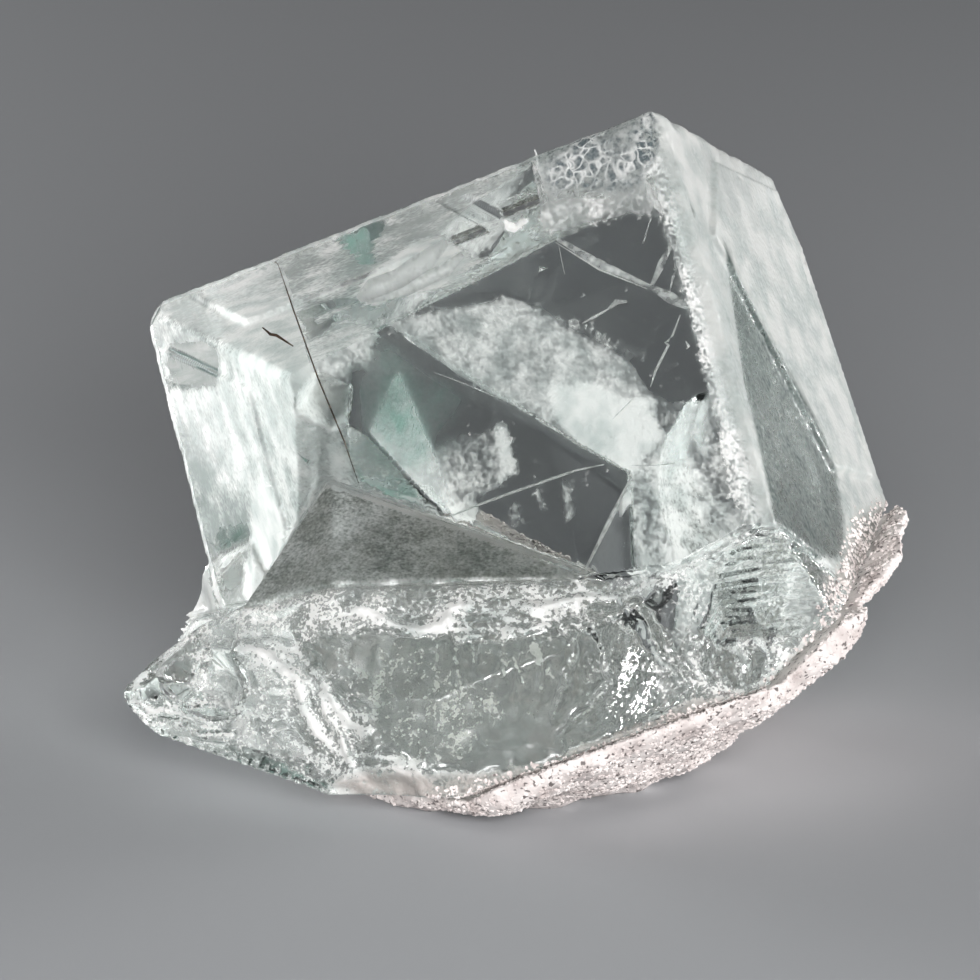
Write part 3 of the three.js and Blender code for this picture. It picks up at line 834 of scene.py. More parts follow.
# Where white granular crust grows over the crystal: how dense, softness and corners.
CRUST = [
    # The crystal's lower right corner.
    (1.0, 6, [(843, 560), (856, 520), (900, 495), (925, 505), (925, 590), (860, 650), (800, 660),
     (824, 600)]),
    # The foot's rim.
    (0.9, 8, [(430, 794), (500, 776), (560, 760), (600, 744), (640, 734), (672, 712), (700, 700),
     (750, 694), (790, 664), (806, 640), (830, 660), (760, 740), (690, 780), (600, 815), (430, 820)]),
]

# What counts as on the front or the right face, in mm from its plane, how squarely the front
# face is seen, and where edges and the right face begin behind the front.
ON_FRONT, ON_RIGHT, FRONT_FACING = 0.45, 0.5, 0.3
EDGE_FACES, RIGHT_FRONT, WORN_FRONT = 0.6, 0.3, -0.2

FAR_LEVEL, NEAR_LEVEL, RIGHT_LEVEL = 0.5, 0.02, 0.75  # frost where no zone says otherwise
FROST_WANDER = (4, 26.0, (71, 72))
EDGE_FROST, EDGE_WIDTH = 0.7, 0.4
LEDGE_FROST = 0.62
LEDGE_BUMPS = [(0.16, 2.2, 82), (0.12, 0.7, 83)]
# Frost turns matt over this ramp, up to this much. The ledge is at least half matt, and the
# leaf glossy.
MATT_RAMP, MATT_MOST, LEDGE_MATT, LEAF_GLOSS = (0.15, 0.5), 0.8, 0.5, 0.8
# How gritty the frost is on each part.
STRIP_GRIT, LEDGE_GRIT, RIM_GRIT, FOOT_GRIT, EDGE_GRIT = 0.8, 0.24, 0.6, 0.5, 0.5
# How much less patchy it is in the green window, the arc and the left zone, and on the ledge
# and the leaf.
GREEN_EVEN, ARC_EVEN, LEFT_EVEN, FLAT_EVEN = 0.7, 0.4, 0.3, 0.5
# How soft outlines are on the sheet: sharp ones, the crusted rim's and blurred ones.
SHARP, RIM_SOFT, BLURRED = 3, 8, 10
# How much of the white haze lets light through, on thin far surfaces and on the rest.
THIN_FAR, THIN_NEAR = 0.8, 0.35

Surface = namedtuple("Surface", "points places shown wander edge foot ledge leaf far near right")


def surface_of(made):
    """What the frost depends on at each corner: the part of the crystal that it is on, and
    where the camera sees it."""
    points, normals = corners_of(made)
    cube, places = cube_of(points), sheet_of(points)
    walls, facing = walls_of(cube), -normals @ LOOK
    far = cube[:, 1] > ON_FRONT
    right = (np.abs(cube[:, 0]) < ON_RIGHT) & (facing > 0) & (cube[:, 1] > RIGHT_FRONT)
    shown = np.where((far & ~right)[:, None], shown_in_front(cube), places)
    edge = np.exp(-((walls[:, 1] / EDGE_WIDTH) ** 2))
    return Surface(
        points=points,
        places=places,
        shown=shown,
        wander=shown + drift(shown, *FROST_WANDER),
        edge=edge * (walls[:, 0] < EDGE_FACES) * (cube[:, 1] > FOOT_FRONT),
        foot=foot_weight(places, normals),
        ledge=inside(places, LEDGE, LEDGE_SOFT) * (cube[:, 1] < WORN_FRONT) * (facing > 0),
        leaf=right * inside(places, LEAF, 2),
        far=far,
        near=(np.abs(cube[:, 1]) < ON_FRONT) & (facing > FRONT_FACING),
        right=right,
    )


def frost_of(on):
    """How frosted and how matt the crystal is."""
    frost = zoned(on.shown, FAR_WINDOWS, zoned(on.wander, FAR_FROST, FAR_LEVEL))
    frost = np.where(on.far, frost, NEAR_LEVEL)
    frost = np.where(on.near, zoned(on.wander, NEAR_FROST, frost), frost)
    frost = np.where(on.right, zoned(on.wander, RIGHT_FROST, RIGHT_LEVEL), frost)
    frost = np.maximum(frost, EDGE_FROST * on.edge)
    frost += (layered(on.points, LEDGE_BUMPS, LEDGE_FROST) - frost) * on.ledge
    matt = smooth(frost, *MATT_RAMP) * MATT_MOST
    milk, dull = np.zeros(len(frost)), np.zeros(len(frost))
    some = on.foot > ON_FOOT
    _, milk[some], dull[some] = foot_look(on.places[some], on.points[some])
    frost += (milk - frost) * on.foot
    matt += (dull - matt) * on.foot
    matt = np.maximum(matt, LEDGE_MATT * on.ledge) * (1 - LEAF_GLOSS * on.leaf)
    return np.clip(frost, 0, 1), np.clip(matt, 0, 1)


def grain_lines(on):
    """Places along and across the grain of the frost, with the grain's zone as a third."""
    grain = grain_of(on.shown, 0, 1.0)
    zone = np.zeros(len(grain))
    for number, (angle, stretch, corners) in enumerate(GRAINS, 1):
        held = on.far & ~on.right & (inside(on.shown, corners, 1) > 0.5)
        grain[held] = grain_of(on.shown[held], angle, stretch)
        zone[held] = number
    grain[on.right] = grain_of(on.shown[on.right], *RIGHT_GRAIN)
    zone[on.right] = len(GRAINS) + 1
    return np.column_stack([grain, zone * GRAIN_APART])


def tints_and_painted_shade_of(on, rim):
    """What the white of the frost is multiplied by: its tint where it is greyer, greener or warmer, and
    painted shade that darkens the etched patch's pits and the leaf on the right face.
    """
    tone = np.ones((len(on.points), 4))
    crusted = np.maximum(rim, on.right * inside(on.places, CRUST[0][-1], 5))
    for share, colour in (
        (on.ledge, "#666b66"),
        (0.8 * on.foot * inside(on.places, QUIET, 14), "#a3aaa2"),
        (on.far * inside(on.shown, GREEN, 16), "#86a59d"),
        (on.foot * inside(on.places, SHELL, 5), "#8d928e"),
        # Painted shade: the etched patch's pits are tinted dark grey, standing in for the dark seen through
        # clear crystal.
        (on.near * inside(on.places, ETCHED, SHARP), "#59646a"),
        (crusted, "#c6bfbc"),
        # Painted shade: the leaf is tinted dark green-grey, standing in for the dark seen through the clear
        # right face.
        (on.leaf, "#4a5c59"),
    ):
        tone[:, :3] += (np.array(linear(colour)) - tone[:, :3]) * share[:, None]
    return tone


def store_frost(made):
    """Keeps on the mesh all that the crystal's material reads."""
    on = surface_of(made)
    frost, matt = frost_of(on)
    strip = on.near * inside(on.wander, STRIP, SHARP)
    rim = on.foot * inside(on.places, FOOT_RIM, RIM_SOFT)
    grit = (STRIP_GRIT * strip, LEDGE_GRIT * on.ledge, RIM_GRIT * rim, FOOT_GRIT * on.foot)
    patchy = 1 - on.far * GREEN_EVEN * inside(on.shown, GREEN, BLURRED)
    patchy -= on.far * ARC_EVEN * inside(on.shown, ARC, BLURRED)
    patchy -= on.far * LEFT_EVEN * inside(on.shown, LEFT_ZONE, BLURRED)
    thin = np.where(on.far | on.right, THIN_FAR, THIN_NEAR)
    store(made, "frost", frost)
    store(made, "matt", matt)
    store(made, "etched", on.near * inside(on.wander, ETCHED, SHARP))
    store(made, "grit", np.maximum.reduce([*grit, EDGE_GRIT * on.edge]))
    store(made, "patchy", patchy * (1 - FLAT_EVEN * np.maximum(on.ledge, on.leaf)))
    store(made, "thin", thin * (1 - on.foot) + THIN_NEAR * on.foot)
    store(made, "tone", tints_and_painted_shade_of(on, rim), "FLOAT_COLOR", "color")
    store(made, "grain", grain_lines(on), "FLOAT_VECTOR", "vector")


# ---- The crystal -------------------------------------------------------------------------

# Patterns in the frost, each in how many to the millimetre: streaks along its grain, clouds,
# specks, grit and etched pits. Grit and pits are drawn coarser than they are, so that they show.
STREAKS, CLOUDS, SPECKS, GRIT, PITS = 2.2, 0.52, 3.8, 6.5, 1.5
UNEVEN_STREAKS, UNEVEN_CLOUDS, UNEVEN_SPECKS = 0.95, 0.8, 0.8
PIT_BEND = 0.9 * MM
WHITEST = 0.94  # even the thickest frost lets a little light through
SPECK_RELIEF = 0.045 * MM
DENSITY = 20.0  # absorption for each metre, from the crystal's own colour
CRYSTAL_BAND = 1.0  # carving reaches no deeper than this
CRYSTAL_TRIANGLES = 150000
LONGEST_EDGE = 0.8
PLAIN_WHITE = (1, 1, 1, 1)


def fluorite_material(colours):
    """Clear fluorite, grown and cleaved: glassy faces of a low index, faintly grey green in
    depth, and frosted white where it is bruised, etched or broken."""
    material, tree = blank_material("cleaved_fluorite")
    where = add(tree, "ShaderNodeTexCoord", out="Object")
    on = {}
    for name in ("frost", "matt", "etched", "grit", "patchy", "thin"):
        on[name] = add(tree, "ShaderNodeAttribute", out="Fac", attribute_name=name)
    grain = add(tree, "ShaderNodeAttribute", out="Vector", attribute_name="grain")
    noises = {}
    for name, place, scale, detail in (
        ("streaks", grain, STREAKS, 3.0),
        ("clouds", where, CLOUDS / MM, 2.0),
        ("specks", where, SPECKS / MM, 1.0),
        ("grit", where, GRIT / MM, 1.0),
    ):
        settings = {"Vector": place, "Scale": scale, "Detail": detail}
        if name == "streaks":
            settings["Roughness"] = 0.62
        noises[name] = add(tree, "ShaderNodeTexNoise", settings, "Fac")
    # The frost's level, made uneven by the noises.
    uneven = 0.0
    for name, swing in (("streaks", UNEVEN_STREAKS), ("clouds", UNEVEN_CLOUDS), ("specks", UNEVEN_SPECKS)):
        uneven = add(tree, "ShaderNodeMath", {0: noises[name], 1: swing, 2: uneven}, operation="MULTIPLY_ADD")
        uneven = add(tree, "ShaderNodeMath", {0: uneven, 1: swing / 2}, operation="SUBTRACT")
    level = {0: uneven, 1: on["patchy"], 2: on["frost"]}
    level = add(tree, "ShaderNodeMath", level, operation="MULTIPLY_ADD")
    swing = add(tree, "ShaderNodeMath", {0: noises["grit"], 1: 2.4, 2: -1.2}, operation="MULTIPLY_ADD")
    level = add(tree, "ShaderNodeMath", {0: swing, 1: on["grit"], 2: level}, operation="MULTIPLY_ADD")
    ramp = {"Value": level, "From Min": 0.24, "From Max": 0.92}
    mask = add(tree, "ShaderNodeMapRange", ramp, interpolation_type="SMOOTHSTEP")
    # The etched patch: white crests around pits, kept where the clouds are thick. The haze in the pits takes
    # the etched patch's painted shade, a dark tint that stands in for the dark seen through clear crystal.
    bend = add(tree, "ShaderNodeTexNoise", {"Vector": where, "Scale": PITS / MM, "Detail": 0.0}, "Color")
    bend = {0: bend, 1: (PIT_BEND,) * 3, 2: where}
    bend = add(tree, "ShaderNodeVectorMath", bend, operation="MULTIPLY_ADD")
    pits = {"Vector": bend, "Scale": PITS / MM}
    pits = add(tree, "ShaderNodeTexVoronoi", pits, "Distance", feature="DISTANCE_TO_EDGE")
    crests = {"Value": pits, "From Min": 0.14, "From Max": 0.0, "To Max": 0.85}
    crests = add(tree, "ShaderNodeMapRange", crests)
    kept = {"Value": noises["clouds"], "From Min": 0.38, "From Max": 0.54, "To Min": 0.0}
    kept = add(tree, "ShaderNodeMapRange", kept)
    crests = add(tree, "ShaderNodeMath", {0: crests, 1: kept}, operation="MULTIPLY")
    net = add(tree, "ShaderNodeMath", {0: crests, 1: on["etched"]}, operation="MULTIPLY")
    mask = add(tree, "ShaderNodeMath", {0: mask, 1: net}, operation="MAXIMUM")
    # The haze is matt, uneven and white, apart from the tint that each place has and the painted shade on the
    # etched patch's pits and on the leaf.
    dull = add(tree, "ShaderNodeMath", {0: mask, 1: on["matt"]}, operation="MAXIMUM")
    rough = add(tree, "ShaderNodeMapRange", {"Value": dull, "To Min": 0.012, "To Max": 0.5})
    milk = add(tree, "ShaderNodeMapRange", {"Value": mask, "To Max": WHITEST})
    relief = {"Height": noises["specks"], "Strength": mask, "Distance": SPECK_RELIEF}
    relief = add(tree, "ShaderNodeBump", relief)
    shade = {"Value": noises["clouds"], "From Min": 0.35, "From Max": 0.6}
    shade = add(tree, "ShaderNodeMapRange", shade)
    white = {"Factor": shade, 6: (*linear("#cdd2d0"), 1), 7: (*colours.frost, 1)}
    white = add(tree, "ShaderNodeMix", white, 2, data_type="RGBA")
    # Painted shade: the stored tint darkens the haze on the etched patch's pits and on the leaf, apart from
    # the etched net's white crests.
    tone = add(tree, "ShaderNodeAttribute", out="Color", attribute_name="tone")
    tone = add(tree, "ShaderNodeMix", {"Factor": net, 6: tone, 7: PLAIN_WHITE}, 2, data_type="RGBA")
    white = {"Factor": 1.0, 6: white, 7: tone}
    white = add(tree, "ShaderNodeMix", white, 2, data_type="RGBA", blend_type="MULTIPLY")
    # Clear fluorite, and haze on it that scatters light back and lets some through.
    body = {"Roughness": rough, "IOR": FLUORITE_IOR, "Normal": relief}
    clear = {**body, "Base Color": PLAIN_WHITE, "Transmission Weight": 1.0}
    glass = add(tree, "ShaderNodeBsdfPrincipled", clear)
    haze = {**body, "Base Color": white, "Roughness": 0.55}
    bruise = add(tree, "ShaderNodeBsdfPrincipled", haze)
    through = add(tree, "ShaderNodeBsdfTranslucent", {"Color": white, "Normal": relief})
    milky = add(tree, "ShaderNodeMixShader", {0: on["thin"], 1: bruise, 2: through})
    surface = add(tree, "ShaderNodeMixShader", {0: milk, 1: glass, 2: milky})
    volume = {"Color": (*colours.crystal, 1.0), "Density": DENSITY}
    volume = add(tree, "ShaderNodeVolumeAbsorption", volume)
    add(tree, "ShaderNodeOutputMaterial", {"Surface": surface, "Volume": volume})
    return material


class FLUORITE_OT_crystal(bpy.types.Operator):
    """Builds the clear crystal with its flat faces, chipped edges and broken foot"""

    bl_idname = "fluorite.crystal"
    bl_label = "Crystal"

    def execute(self, context):
        detail = in_mm(context.scene.fluorite_sizes.crystal_detail)
        points, quads = carved("fluorite_crystal", detail, CRYSTAL_BAND, crystal_depth)
        made = mesh_object("crystal", points, outwards(points, quads))
        thinned(made, CRYSTAL_TRIANGLES)
        short_edges(made, LONGEST_EDGE)
        smooth_shaded(made)
        store_frost(made)
        made.data.materials.append(fluorite_material(context.scene.fluorite_colours))
        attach(made, "root")
        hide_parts("fluorite_crystal")
        return {"FINISHED"}


# ---- Inner flaws -------------------------------------------------------------------------

# Cracks and veils inside the crystal: path where the front face shows it on the sheet, width
# there, depth in mm behind the front face at its two ends, and how dense it is.
CRACKS = [
    # Two pale cracks at the upper left.
    ([(281, 268), (285, 282), (293, 304)], 6.0, (2.6, 3.2), 0.8),
    ([(304, 344), (309, 362)], 3.0, (3.4, 3.6), 0.7),
    # In the dark window.
    ([(557, 237), (600, 262), (652, 285)], 9.0, (4.0, 6.0), 0.42),
    ([(556, 241), (600, 268), (648, 287)], 2.0, (4.0, 6.0), 0.9),
    ([(652, 285), (672, 296), (693, 307)], 12.0, (6.0, 6.6), 0.35),
    ([(653, 284), (663, 262), (672, 243)], 8.0, (6.0, 5.0), 0.38),
    ([(671, 292), (675, 272), (678, 254)], 3.0, (6.0, 5.0), 0.35),
    ([(644, 242), (652, 216)], 4.0, (5.0, 4.6), 0.3),
    ([(682, 313), (672, 340), (657, 370), (652, 386)], 2.6, (7.0, 8.0), 0.95),
    ([(583, 322), (596, 315), (610, 307)], 3.2, (6.0, 6.0), 0.95),
    ([(610, 307), (618, 300), (628, 300)], 6.0, (6.0, 6.0), 0.4),
    ([(558, 238), (565, 273)], 1.2, (4.0, 4.0), 0.7),
    # In the green window and beside it.
    ([(433, 370), (470, 384), (507, 400)], 1.4, (14.0, 14.0), 0.75),
    ([(443, 520), (470, 508), (500, 497), (577, 470), (606, 464)], 2.6, (15.0, 15.0), 0.9),
    ([(634, 476), (612, 520), (584, 576)], 5.0, (13.0, 11.0), 0.95),
    ([(633, 465), (655, 465), (677, 463)], 1.2, (8.0, 8.0), 0.7),
    ([(612, 420), (624, 408), (634, 398)], 1.2, (9.0, 9.0), 0.6),
    # Two spots in the dark window.
    ([(687, 340), (690, 345), (688, 348)], 3.0, (5.0, 5.0), 1.0),
    ([(636, 282), (638, 284)], 3.0, (5.0, 5.0), 1.0),
    # In and round the etched patch.
    ([(534, 149), (540, 168), (548, 194)], 3.5, (0.3, 0.3), 0.95),
    ([(548, 196), (562, 190), (576, 183)], 4.0, (0.3, 0.3), 0.95),
    ([(579, 148), (583, 160), (583, 176)], 2.6, (0.3, 0.3), 0.9),
    ([(600, 146), (603, 156), (601, 170)], 2.0, (0.3, 0.3), 0.9),
    ([(613, 148), (614, 158), (613, 168)], 1.8, (0.3, 0.3), 0.9),
    ([(596, 150), (618, 148), (632, 150)], 2.2, (0.3, 0.3), 0.75),
    ([(626, 150), (632, 162), (648, 152), (656, 168)], 4.5, (0.3, 0.3), 0.8),
    ([(592, 188), (596, 182), (612, 180), (640, 178), (648, 172)], 5.0, (0.3, 0.3), 0.9),
    ([(646, 180), (652, 200), (664, 214)], 9.0, (0.3, 0.3), 0.9),
    # The white veil and the white square.
    ([(358, 299), (372, 287), (398, 277), (426, 258), (446, 240)], 20.0, (5.0, 6.0), 1.0),
    ([(366, 300), (404, 288), (446, 268), (462, 252)], 14.0, (5.2, 6.2), 0.8),
    ([(506, 226), (524, 224)], 15.0, (1.0, 1.0), 1.0),
]
# Dark needles, the same way.
NEEDLES = [
    ([(262, 327), (270, 334), (276, 335), (293, 346)], 3.0, (1.5, 1.6), 1.0),
    ([(277, 262), (293, 310), (317, 377), (343, 440), (358, 484)], 1.5, (2.0, 5.0), 0.9),
]
FLAW_THICKNESS = 0.05
FLAW_TIP = 0.4  # how wide the ends are, for a width of one
FLAW_PATCHES = 2.2  # thin and thick patches in a film, to the millimetre
UNEVEN_FILM = 1.6


def ribbon(path, width, depths):
    """Corners and faces of a thin closed strip inside the crystal."""
    path = np.array(path, float)
    run = np.gradient(path, axis=0)
    side = np.stack([-run[:, 1], run[:, 0]], -1) / np.linalg.norm(run, axis=1, keepdims=True)
    taper = np.full(len(path), width / 2)
    taper[[0, -1]] *= FLAW_TIP
    deep = np.linspace(*depths, len(path))
    rails = []
    for sign, extra in ((-1, 0), (1, 0), (1, FLAW_THICKNESS), (-1, FLAW_THICKNESS)):
        rails.append(behind_front(path + sign * side * taper[:, None], deep + extra))
    count = len(path)
    faces = []
    for k in range(4):
        for i in range(count - 1):
            a, b = k * count + i, (k + 1) % 4 * count + i
            faces.append((a, a + 1, b + 1, b))
    for i in (0, count - 1):
        cap = tuple(k * count + i for k in range(4))
        faces.append(cap if i == 0 else cap[::-1])
    return np.concatenate(rails), np.array(faces)


def flaw_material(name, colour, density):
    """A film inside the crystal, partly see-through: a healed crack is whitish and shows as a
    pale line, a needle is brown and shows as a dark one."""
    material, tree = blank_material(name)
    where = add(tree, "ShaderNodeTexCoord", out="Object")
    patches = {"Vector": where, "Scale": FLAW_PATCHES / MM, "Detail": 1.0}
    patches = add(tree, "ShaderNodeTexNoise", patches, "Fac")
    dense = add(tree, "ShaderNodeAttribute", out="Fac", attribute_name="dense")
    swing = {0: patches, 1: UNEVEN_FILM, 2: -UNEVEN_FILM / 2}
    swing = add(tree, "ShaderNodeMath", swing, operation="MULTIPLY_ADD")
    level = add(tree, "ShaderNodeMath", {0: swing, 1: dense}, operation="ADD", use_clamp=True)
    share = add(tree, "ShaderNodeMath", {0: level, 1: density}, operation="MULTIPLY")
    clear = add(tree, "ShaderNodeBsdfTransparent")
    film = add(tree, "ShaderNodeBsdfPrincipled", {"Base Color": colour, "Roughness": 0.5})
    through = add(tree, "ShaderNodeBsdfTranslucent", {"Color": colour})
    pale = add(tree, "ShaderNodeMixShader", {0: 0.5, 1: film, 2: through})
    surface = add(tree, "ShaderNodeMixShader", {0: share, 1: clear, 2: pale})
    add(tree, "ShaderNodeOutputMaterial", {"Surface": surface})
    return material


class FLUORITE_OT_flaws(bpy.types.Operator):
    """Builds the healed cracks and the brown needles inside the crystal"""

    bl_idname = "fluorite.flaws"
    bl_label = "Inner flaws"

    def execute(self, context):
        corners, faces, dense, brown = [], [], [], []
        for kind, flaws in enumerate((CRACKS, NEEDLES)):
            for path, width, depths, density in flaws:
                strip, sides = ribbon(path, width, depths)
                faces.append(sides + sum(len(c) for c in corners))
                corners.append(strip)
                dense.append(np.full(len(strip), density))
                brown.append(np.full(len(sides), kind))
        made = mesh_object("inner_flaws", np.concatenate(corners), np.concatenate(faces))
        store(made, "dense", np.concatenate(dense))
        made.data.materials.append(flaw_material("healed_crack", (*linear("#f2f3f2"), 1), 0.9))
        made.data.materials.append(flaw_material("brown_needle", (*linear("#5b4433"), 1), 1.0))
        made.data.polygons.foreach_set("material_index", np.concatenate(brown).astype(np.int32))
        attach(made, "root")
        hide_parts("fluorite_crystal")
        return {"FINISHED"}


# ---- The rind ----------------------------------------------------------------------------

RIND_BUMPS = [(0.05, 0.8, 91), (0.035, 0.34, 92)]
RIND_TABLE = (0.02, 0.3)  # above the table, the rind's grain comes in between these heights
RIND_BAND = 0.8
RIND_TRIANGLES = 120000
RIND_CLOUDS, RIND_SPECKS = 0.7, 3.6  # to the millimetre
RIND_RELIEF = 0.12 * MM


def rind_depth(points, normals):
    """How far the rind's grain lies below its surface, which stays flat at the table."""
    grain = sum(height * (1 + bumps(points, width, seed)) for height, width, seed in RIND_BUMPS)
    return (grain * smooth(points[:, 2], *RIND_TABLE)).astype(np.float32)


def rind_material(colours):
    """White granular matrix, a sugary mix of pale grains: matt, faintly pink, with dark specks."""
    material, tree = blank_material("granular_matrix")
    where = add(tree, "ShaderNodeTexCoord", out="Object")
    clouds = {"Vector": where, "Scale": RIND_CLOUDS / MM, "Detail": 3.0}
    clouds = add(tree, "ShaderNodeTexNoise", clouds, "Fac")
    specks = {"Vector": where, "Scale": RIND_SPECKS / MM, "Detail": 1.0}
    specks = add(tree, "ShaderNodeTexNoise", specks, "Fac")
    pale = add(tree, "ShaderNodeValToRGB", {"Fac": clouds}, "Color")
    low, high = pale.node.color_ramp.elements
    low.position, low.color = 0.3, (*linear("#b7aca9"), 1)
    high.position, high.color = 0.62, (*colours.rind, 1)
    dark = add(tree, "ShaderNodeMapRange", {"Value": specks, "From Min": 0.33, "From Max": 0.38})
    mixed = {"Factor": dark, 6: (*linear("#6d6664"), 1), 7: pale}
    mixed = add(tree, "ShaderNodeMix", mixed, 2, data_type="RGBA")
    relief = {"Height": specks, "Strength": 0.6, "Distance": RIND_RELIEF}
    relief = add(tree, "ShaderNodeBump", relief)
    shader = {"Base Color": mixed, "Roughness": 0.75, "Normal": relief}
    shader = add(tree, "ShaderNodeBsdfPrincipled", shader)
    add(tree, "ShaderNodeOutputMaterial", {"Surface": shader})
    return material


class FLUORITE_OT_rind(bpy.types.Operator):
    """Builds the thin granular rind under the crystal"""

    bl_idname = "fluorite.rind"
    bl_label = "Rind"

    def execute(self, context):
        detail = in_mm(context.scene.fluorite_sizes.rind_detail)
        points, quads = carved("matrix_rind", detail, RIND_BAND, rind_depth)
        points[:, 2] = np.maximum(points[:, 2], 0)
        made = mesh_object("rind", points, outwards(points, quads))
        thinned(made, RIND_TRIANGLES)
        smooth_shaded(made)
        made.data.materials.append(rind_material(context.scene.fluorite_colours))
        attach(made, "root")
        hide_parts("matrix_rind")
        return {"FINISHED"}


# ---- Grains ------------------------------------------------------------------------------

GRAIN_SEED, SQUASH_SEED = 5, 11
FLATTEST, FULLEST = (0.6, 0.6, 0.4), (1.2, 1.2, 0.9)  # how a grain is squashed
TABLE_CLEARANCE = 0.28
GAP = 0.5  # no grains lie on the rind where the crystal is nearer than this
CRUST_DENSITY = 1.7  # the crust on the crystal is this much denser than on the rind
CRUST_FACING = -0.1  # it lies only where the crystal faces the front


def grain_tree():
    """Geometry Nodes that strew small angular grains over a surface, as one mesh."""
    tree = bpy.data.node_groups.new("strewn_grains", "GeometryNodeTree")
    tree.interface.new_socket(name="Geometry", in_out="OUTPUT", socket_type="NodeSocketGeometry")
    for name, kind in (
        ("Geometry", "Geometry"),
        ("Grains per square metre", "Float"),
        ("Smallest", "Float"),
        ("Largest", "Float"),
        ("Seed", "Int"),
        ("Material", "Material"),
    ):
        tree.interface.new_socket(name=name, in_out="INPUT", socket_type="NodeSocket" + kind)
    given = add(tree, "NodeGroupInput").node.outputs
    crust = {"Name": "crust"}
    crust = add(tree, "GeometryNodeInputNamedAttribute", crust, "Attribute", data_type="FLOAT")
    density = {0: given["Grains per square metre"], 1: crust}
    density = add(tree, "ShaderNodeMath", density, operation="MULTIPLY")
    spots = {"Mesh": given["Geometry"], "Density": density, "Seed": given["Seed"]}
    spots = add(tree, "GeometryNodeDistributePointsOnFaces", spots).node.outputs
    shape = add(tree, "GeometryNodeMeshIcoSphere", {"Radius": 1.0, "Subdivisions": 1}, "Mesh")
    size = {2: given["Smallest"], 3: given["Largest"], "Seed": given["Seed"]}
    size = add(tree, "FunctionNodeRandomValue", size, 1, data_type="FLOAT")
    squash = {0: FLATTEST, 1: FULLEST, "Seed": SQUASH_SEED}
    squash = add(tree, "FunctionNodeRandomValue", squash, data_type="FLOAT_VECTOR")
    scale = add(tree, "ShaderNodeVectorMath", {0: squash, "Scale": size}, operation="SCALE")
    placed = {"Points": spots["Points"], "Instance": shape, "Rotation": spots["Rotation"], "Scale": scale}
    placed = add(tree, "GeometryNodeInstanceOnPoints", placed)
    whole = add(tree, "GeometryNodeRealizeInstances", {"Geometry": placed})
    dressed = {"Geometry": whole, "Material": given["Material"]}
    dressed = add(tree, "GeometryNodeSetMaterial", dressed)
    add(tree, "NodeGroupOutput", {"Geometry": dressed})
    return tree


def strewn(seat, tree, sizes):
    """The grains that the tree strews over a seat, as a plain mesh."""
    modifier = seat.modifiers.new("grains", "NODES")
    modifier.node_group = tree
    sockets = {item.name: item.identifier for item in tree.interface.items_tree if item.in_out == "INPUT"}
    modifier[sockets["Grains per square metre"]] = sizes.grain_count / MM**2
    modifier[sockets["Smallest"]] = sizes.smallest_grain
    modifier[sockets["Largest"]] = sizes.largest_grain
    modifier[sockets["Seed"]] = GRAIN_SEED
    modifier[sockets["Material"]] = bpy.data.materials["granular_matrix"]
    graph = bpy.context.evaluated_depsgraph_get()
    mesh = bpy.data.meshes.new_from_object(seat.evaluated_get(graph))
    seat.modifiers.remove(modifier)
    return mesh


def against(points, normals, other):
    """Which points lie close to another object and face it."""
    tree = BVHTree.FromObject(other, bpy.context.evaluated_depsgraph_get())
    rays = zip(points, normals)
    return np.array([tree.ray_cast(Vector(p) * MM, Vector(n), GAP * MM)[0] is not None for p, n in rays])


def rind_crust(points, normals):
    """How densely grains lie on the rind: all over, but not between it and the crystal."""
    return ~against(points, normals, bpy.data.objects["crystal"])


def crystal_crust(points, normals):
    """How densely grains lie on the crystal: only on its crusted lower right corner."""
    return CRUST_DENSITY * zoned(sheet_of(points), CRUST, 0.0) * (-normals @ LOOK > CRUST_FACING)


class FLUORITE_OT_grains(bpy.types.Operator):
    """Strews granular matrix over the rind and the crystal's crusted lower right corner"""

    bl_idname = "fluorite.grains"
    bl_label = "Grains"

    def execute(self, context):
        tree = grain_tree()
        for name, node, slot, crust_at in (
            ("rind", "matrix_rind", "white_matrix", rind_crust),
            ("crystal", "fluorite_crystal", "clear_fluorite", crystal_crust),
        ):
            seat = bpy.data.objects[name]
            points, normals = corners_of(seat)
            clear = smooth(points[:, 2], TABLE_CLEARANCE, 2 * TABLE_CLEARANCE)
            store(seat, "crust", clear * crust_at(points, normals))
            mesh = strewn(seat, tree, context.scene.fluorite_sizes)
            made = bpy.data.objects.new(name + "_grains", mesh)
            context.scene.collection.objects.link(made)
            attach(made, "root")
            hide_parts(node)
        return {"FINISHED"}


# ---- The stage ---------------------------------------------------------------------------

FLOOR_HALF = 900
FLOOR_ROUGHNESS = 0.7
AIM = Vector((0, 0, 15 * MM))
WORLD_COLOUR, WORLD_STRENGTH = (0.5, 0.52, 0.55, 1), 0.03
NEAREST_SEEN = 0.01
# The studio lights: name, place in mm, width and height in mm, power in watts. The key is near
# the camera's axis, so its shadow falls where the clear windows look, and the low back lights
# light the frost and hardly the floor.
LIGHTS = [
    ("key", (30, -340, 105), (120, 90), 1.55),
    ("front_left", (-200, -330, 140), (150, 120), 0.3),
    ("back_right", (310, 110, 17), (200, 28), 1.6),
    ("back_left", (-262, 185, 17), (110, 28), 1.7),
]


def lay_floor(colour):
    """A plain pale floor at the table's height."""
    ends = [(-FLOOR_HALF, -FLOOR_HALF, 0), (FLOOR_HALF, -FLOOR_HALF, 0)]
    ends += [(FLOOR_HALF, FLOOR_HALF, 0), (-FLOOR_HALF, FLOOR_HALF, 0)]
    floor = mesh_object("floor", np.array(ends), np.array([[0, 1, 2, 3]]))
    material = bpy.data.materials.new("plain_floor")
    material.use_nodes = True
    shader = material.node_tree.nodes["Principled BSDF"]
    shader.inputs["Base Color"].default_value = (*colour, 1)
    shader.inputs["Roughness"].default_value = FLOOR_ROUGHNESS
    floor.data.materials.append(material)


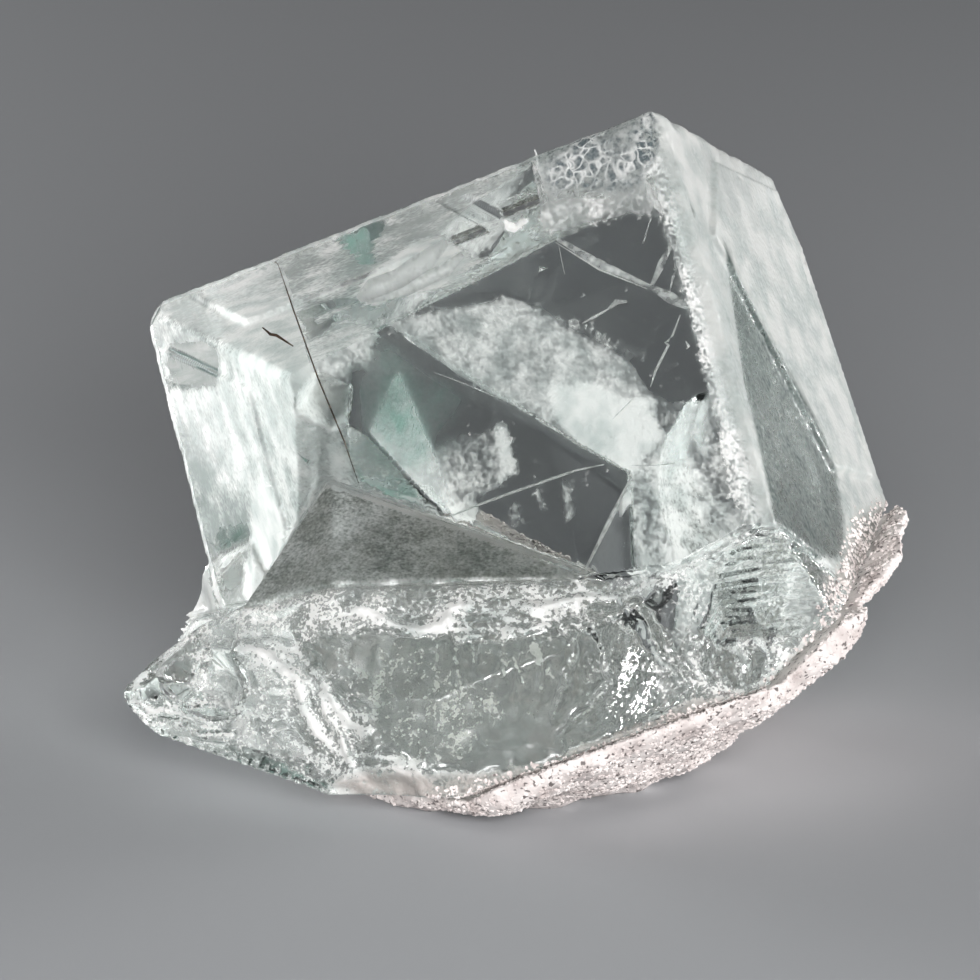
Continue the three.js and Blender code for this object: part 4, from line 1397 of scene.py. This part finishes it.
def set_lights(scene):
    """The soft studio lights and the dim world."""
    for name, place, size, power in LIGHTS:
        light = bpy.data.lights.new(name, "AREA")
        light.shape = "RECTANGLE"
        light.size, light.size_y = size[0] * MM, size[1] * MM
        light.energy = power
        lamp = bpy.data.objects.new(name, light)
        lamp.location = Vector(place) * MM
        lamp.rotation_euler = (AIM - lamp.location).to_track_quat("-Z", "Y").to_euler()
        scene.collection.objects.link(lamp)
    world = bpy.data.worlds.new("studio")
    world.use_nodes = True
    background = world.node_tree.nodes["Background"]
    background.inputs["Color"].default_value = WORLD_COLOUR
    background.inputs["Strength"].default_value = WORLD_STRENGTH
    scene.world = world
    scene.view_settings.view_transform = "Standard"


def set_camera(scene):
    """The camera that the sheet belongs to."""
    lens = bpy.data.cameras.new("front")
    lens.sensor_fit = "HORIZONTAL"
    lens.angle = 2 * math.atan(SHEET / SHEET_UNITS / 2 / DISTANCE)
    lens.clip_start = NEAREST_SEEN
    camera = bpy.data.objects.new("front", lens)
    camera.location = Vector(TARGET - LOOK * DISTANCE) * MM
    camera.rotation_euler = Vector(LOOK).to_track_quat("-Z", "Y").to_euler()
    scene.collection.objects.link(camera)
    scene.camera = camera


class FLUORITE_OT_stage(bpy.types.Operator):
    """Sets the plain floor, the soft lights, the world and the camera"""

    bl_idname = "fluorite.stage"
    bl_label = "Stage"

    def execute(self, context):
        lay_floor(context.scene.fluorite_colours.floor)
        set_lights(context.scene)
        set_camera(context.scene)
        return {"FINISHED"}


# ---- Add-on ------------------------------------------------------------------------------

OPERATORS = (FLUORITE_OT_crystal, FLUORITE_OT_flaws, FLUORITE_OT_rind, FLUORITE_OT_grains, FLUORITE_OT_stage)


class FLUORITE_PT_panel(bpy.types.Panel):
    bl_label = "Fluorite cube"
    bl_space_type = "VIEW_3D"
    bl_region_type = "UI"
    bl_category = "Fluorite"

    def draw(self, context):
        for group in (context.scene.fluorite_sizes, context.scene.fluorite_colours):
            for name in group.__annotations__:
                self.layout.prop(group, name)
        for operator in OPERATORS:
            self.layout.operator(operator.bl_idname)


CLASSES = (FluoriteSizes, FluoriteColours, *OPERATORS, FLUORITE_PT_panel)


def register():
    for one in CLASSES:
        bpy.utils.register_class(one)
    bpy.types.Scene.fluorite_sizes = bpy.props.PointerProperty(type=FluoriteSizes)
    bpy.types.Scene.fluorite_colours = bpy.props.PointerProperty(type=FluoriteColours)


def unregister():
    del bpy.types.Scene.fluorite_sizes
    del bpy.types.Scene.fluorite_colours
    for one in reversed(CLASSES):
        bpy.utils.unregister_class(one)


def main():
    register()
    bpy.ops.fluorite.crystal()
    bpy.ops.fluorite.flaws()
    bpy.ops.fluorite.rind()
    bpy.ops.fluorite.grains()
    bpy.ops.fluorite.stage()


if __name__ == "__main__":
    main()
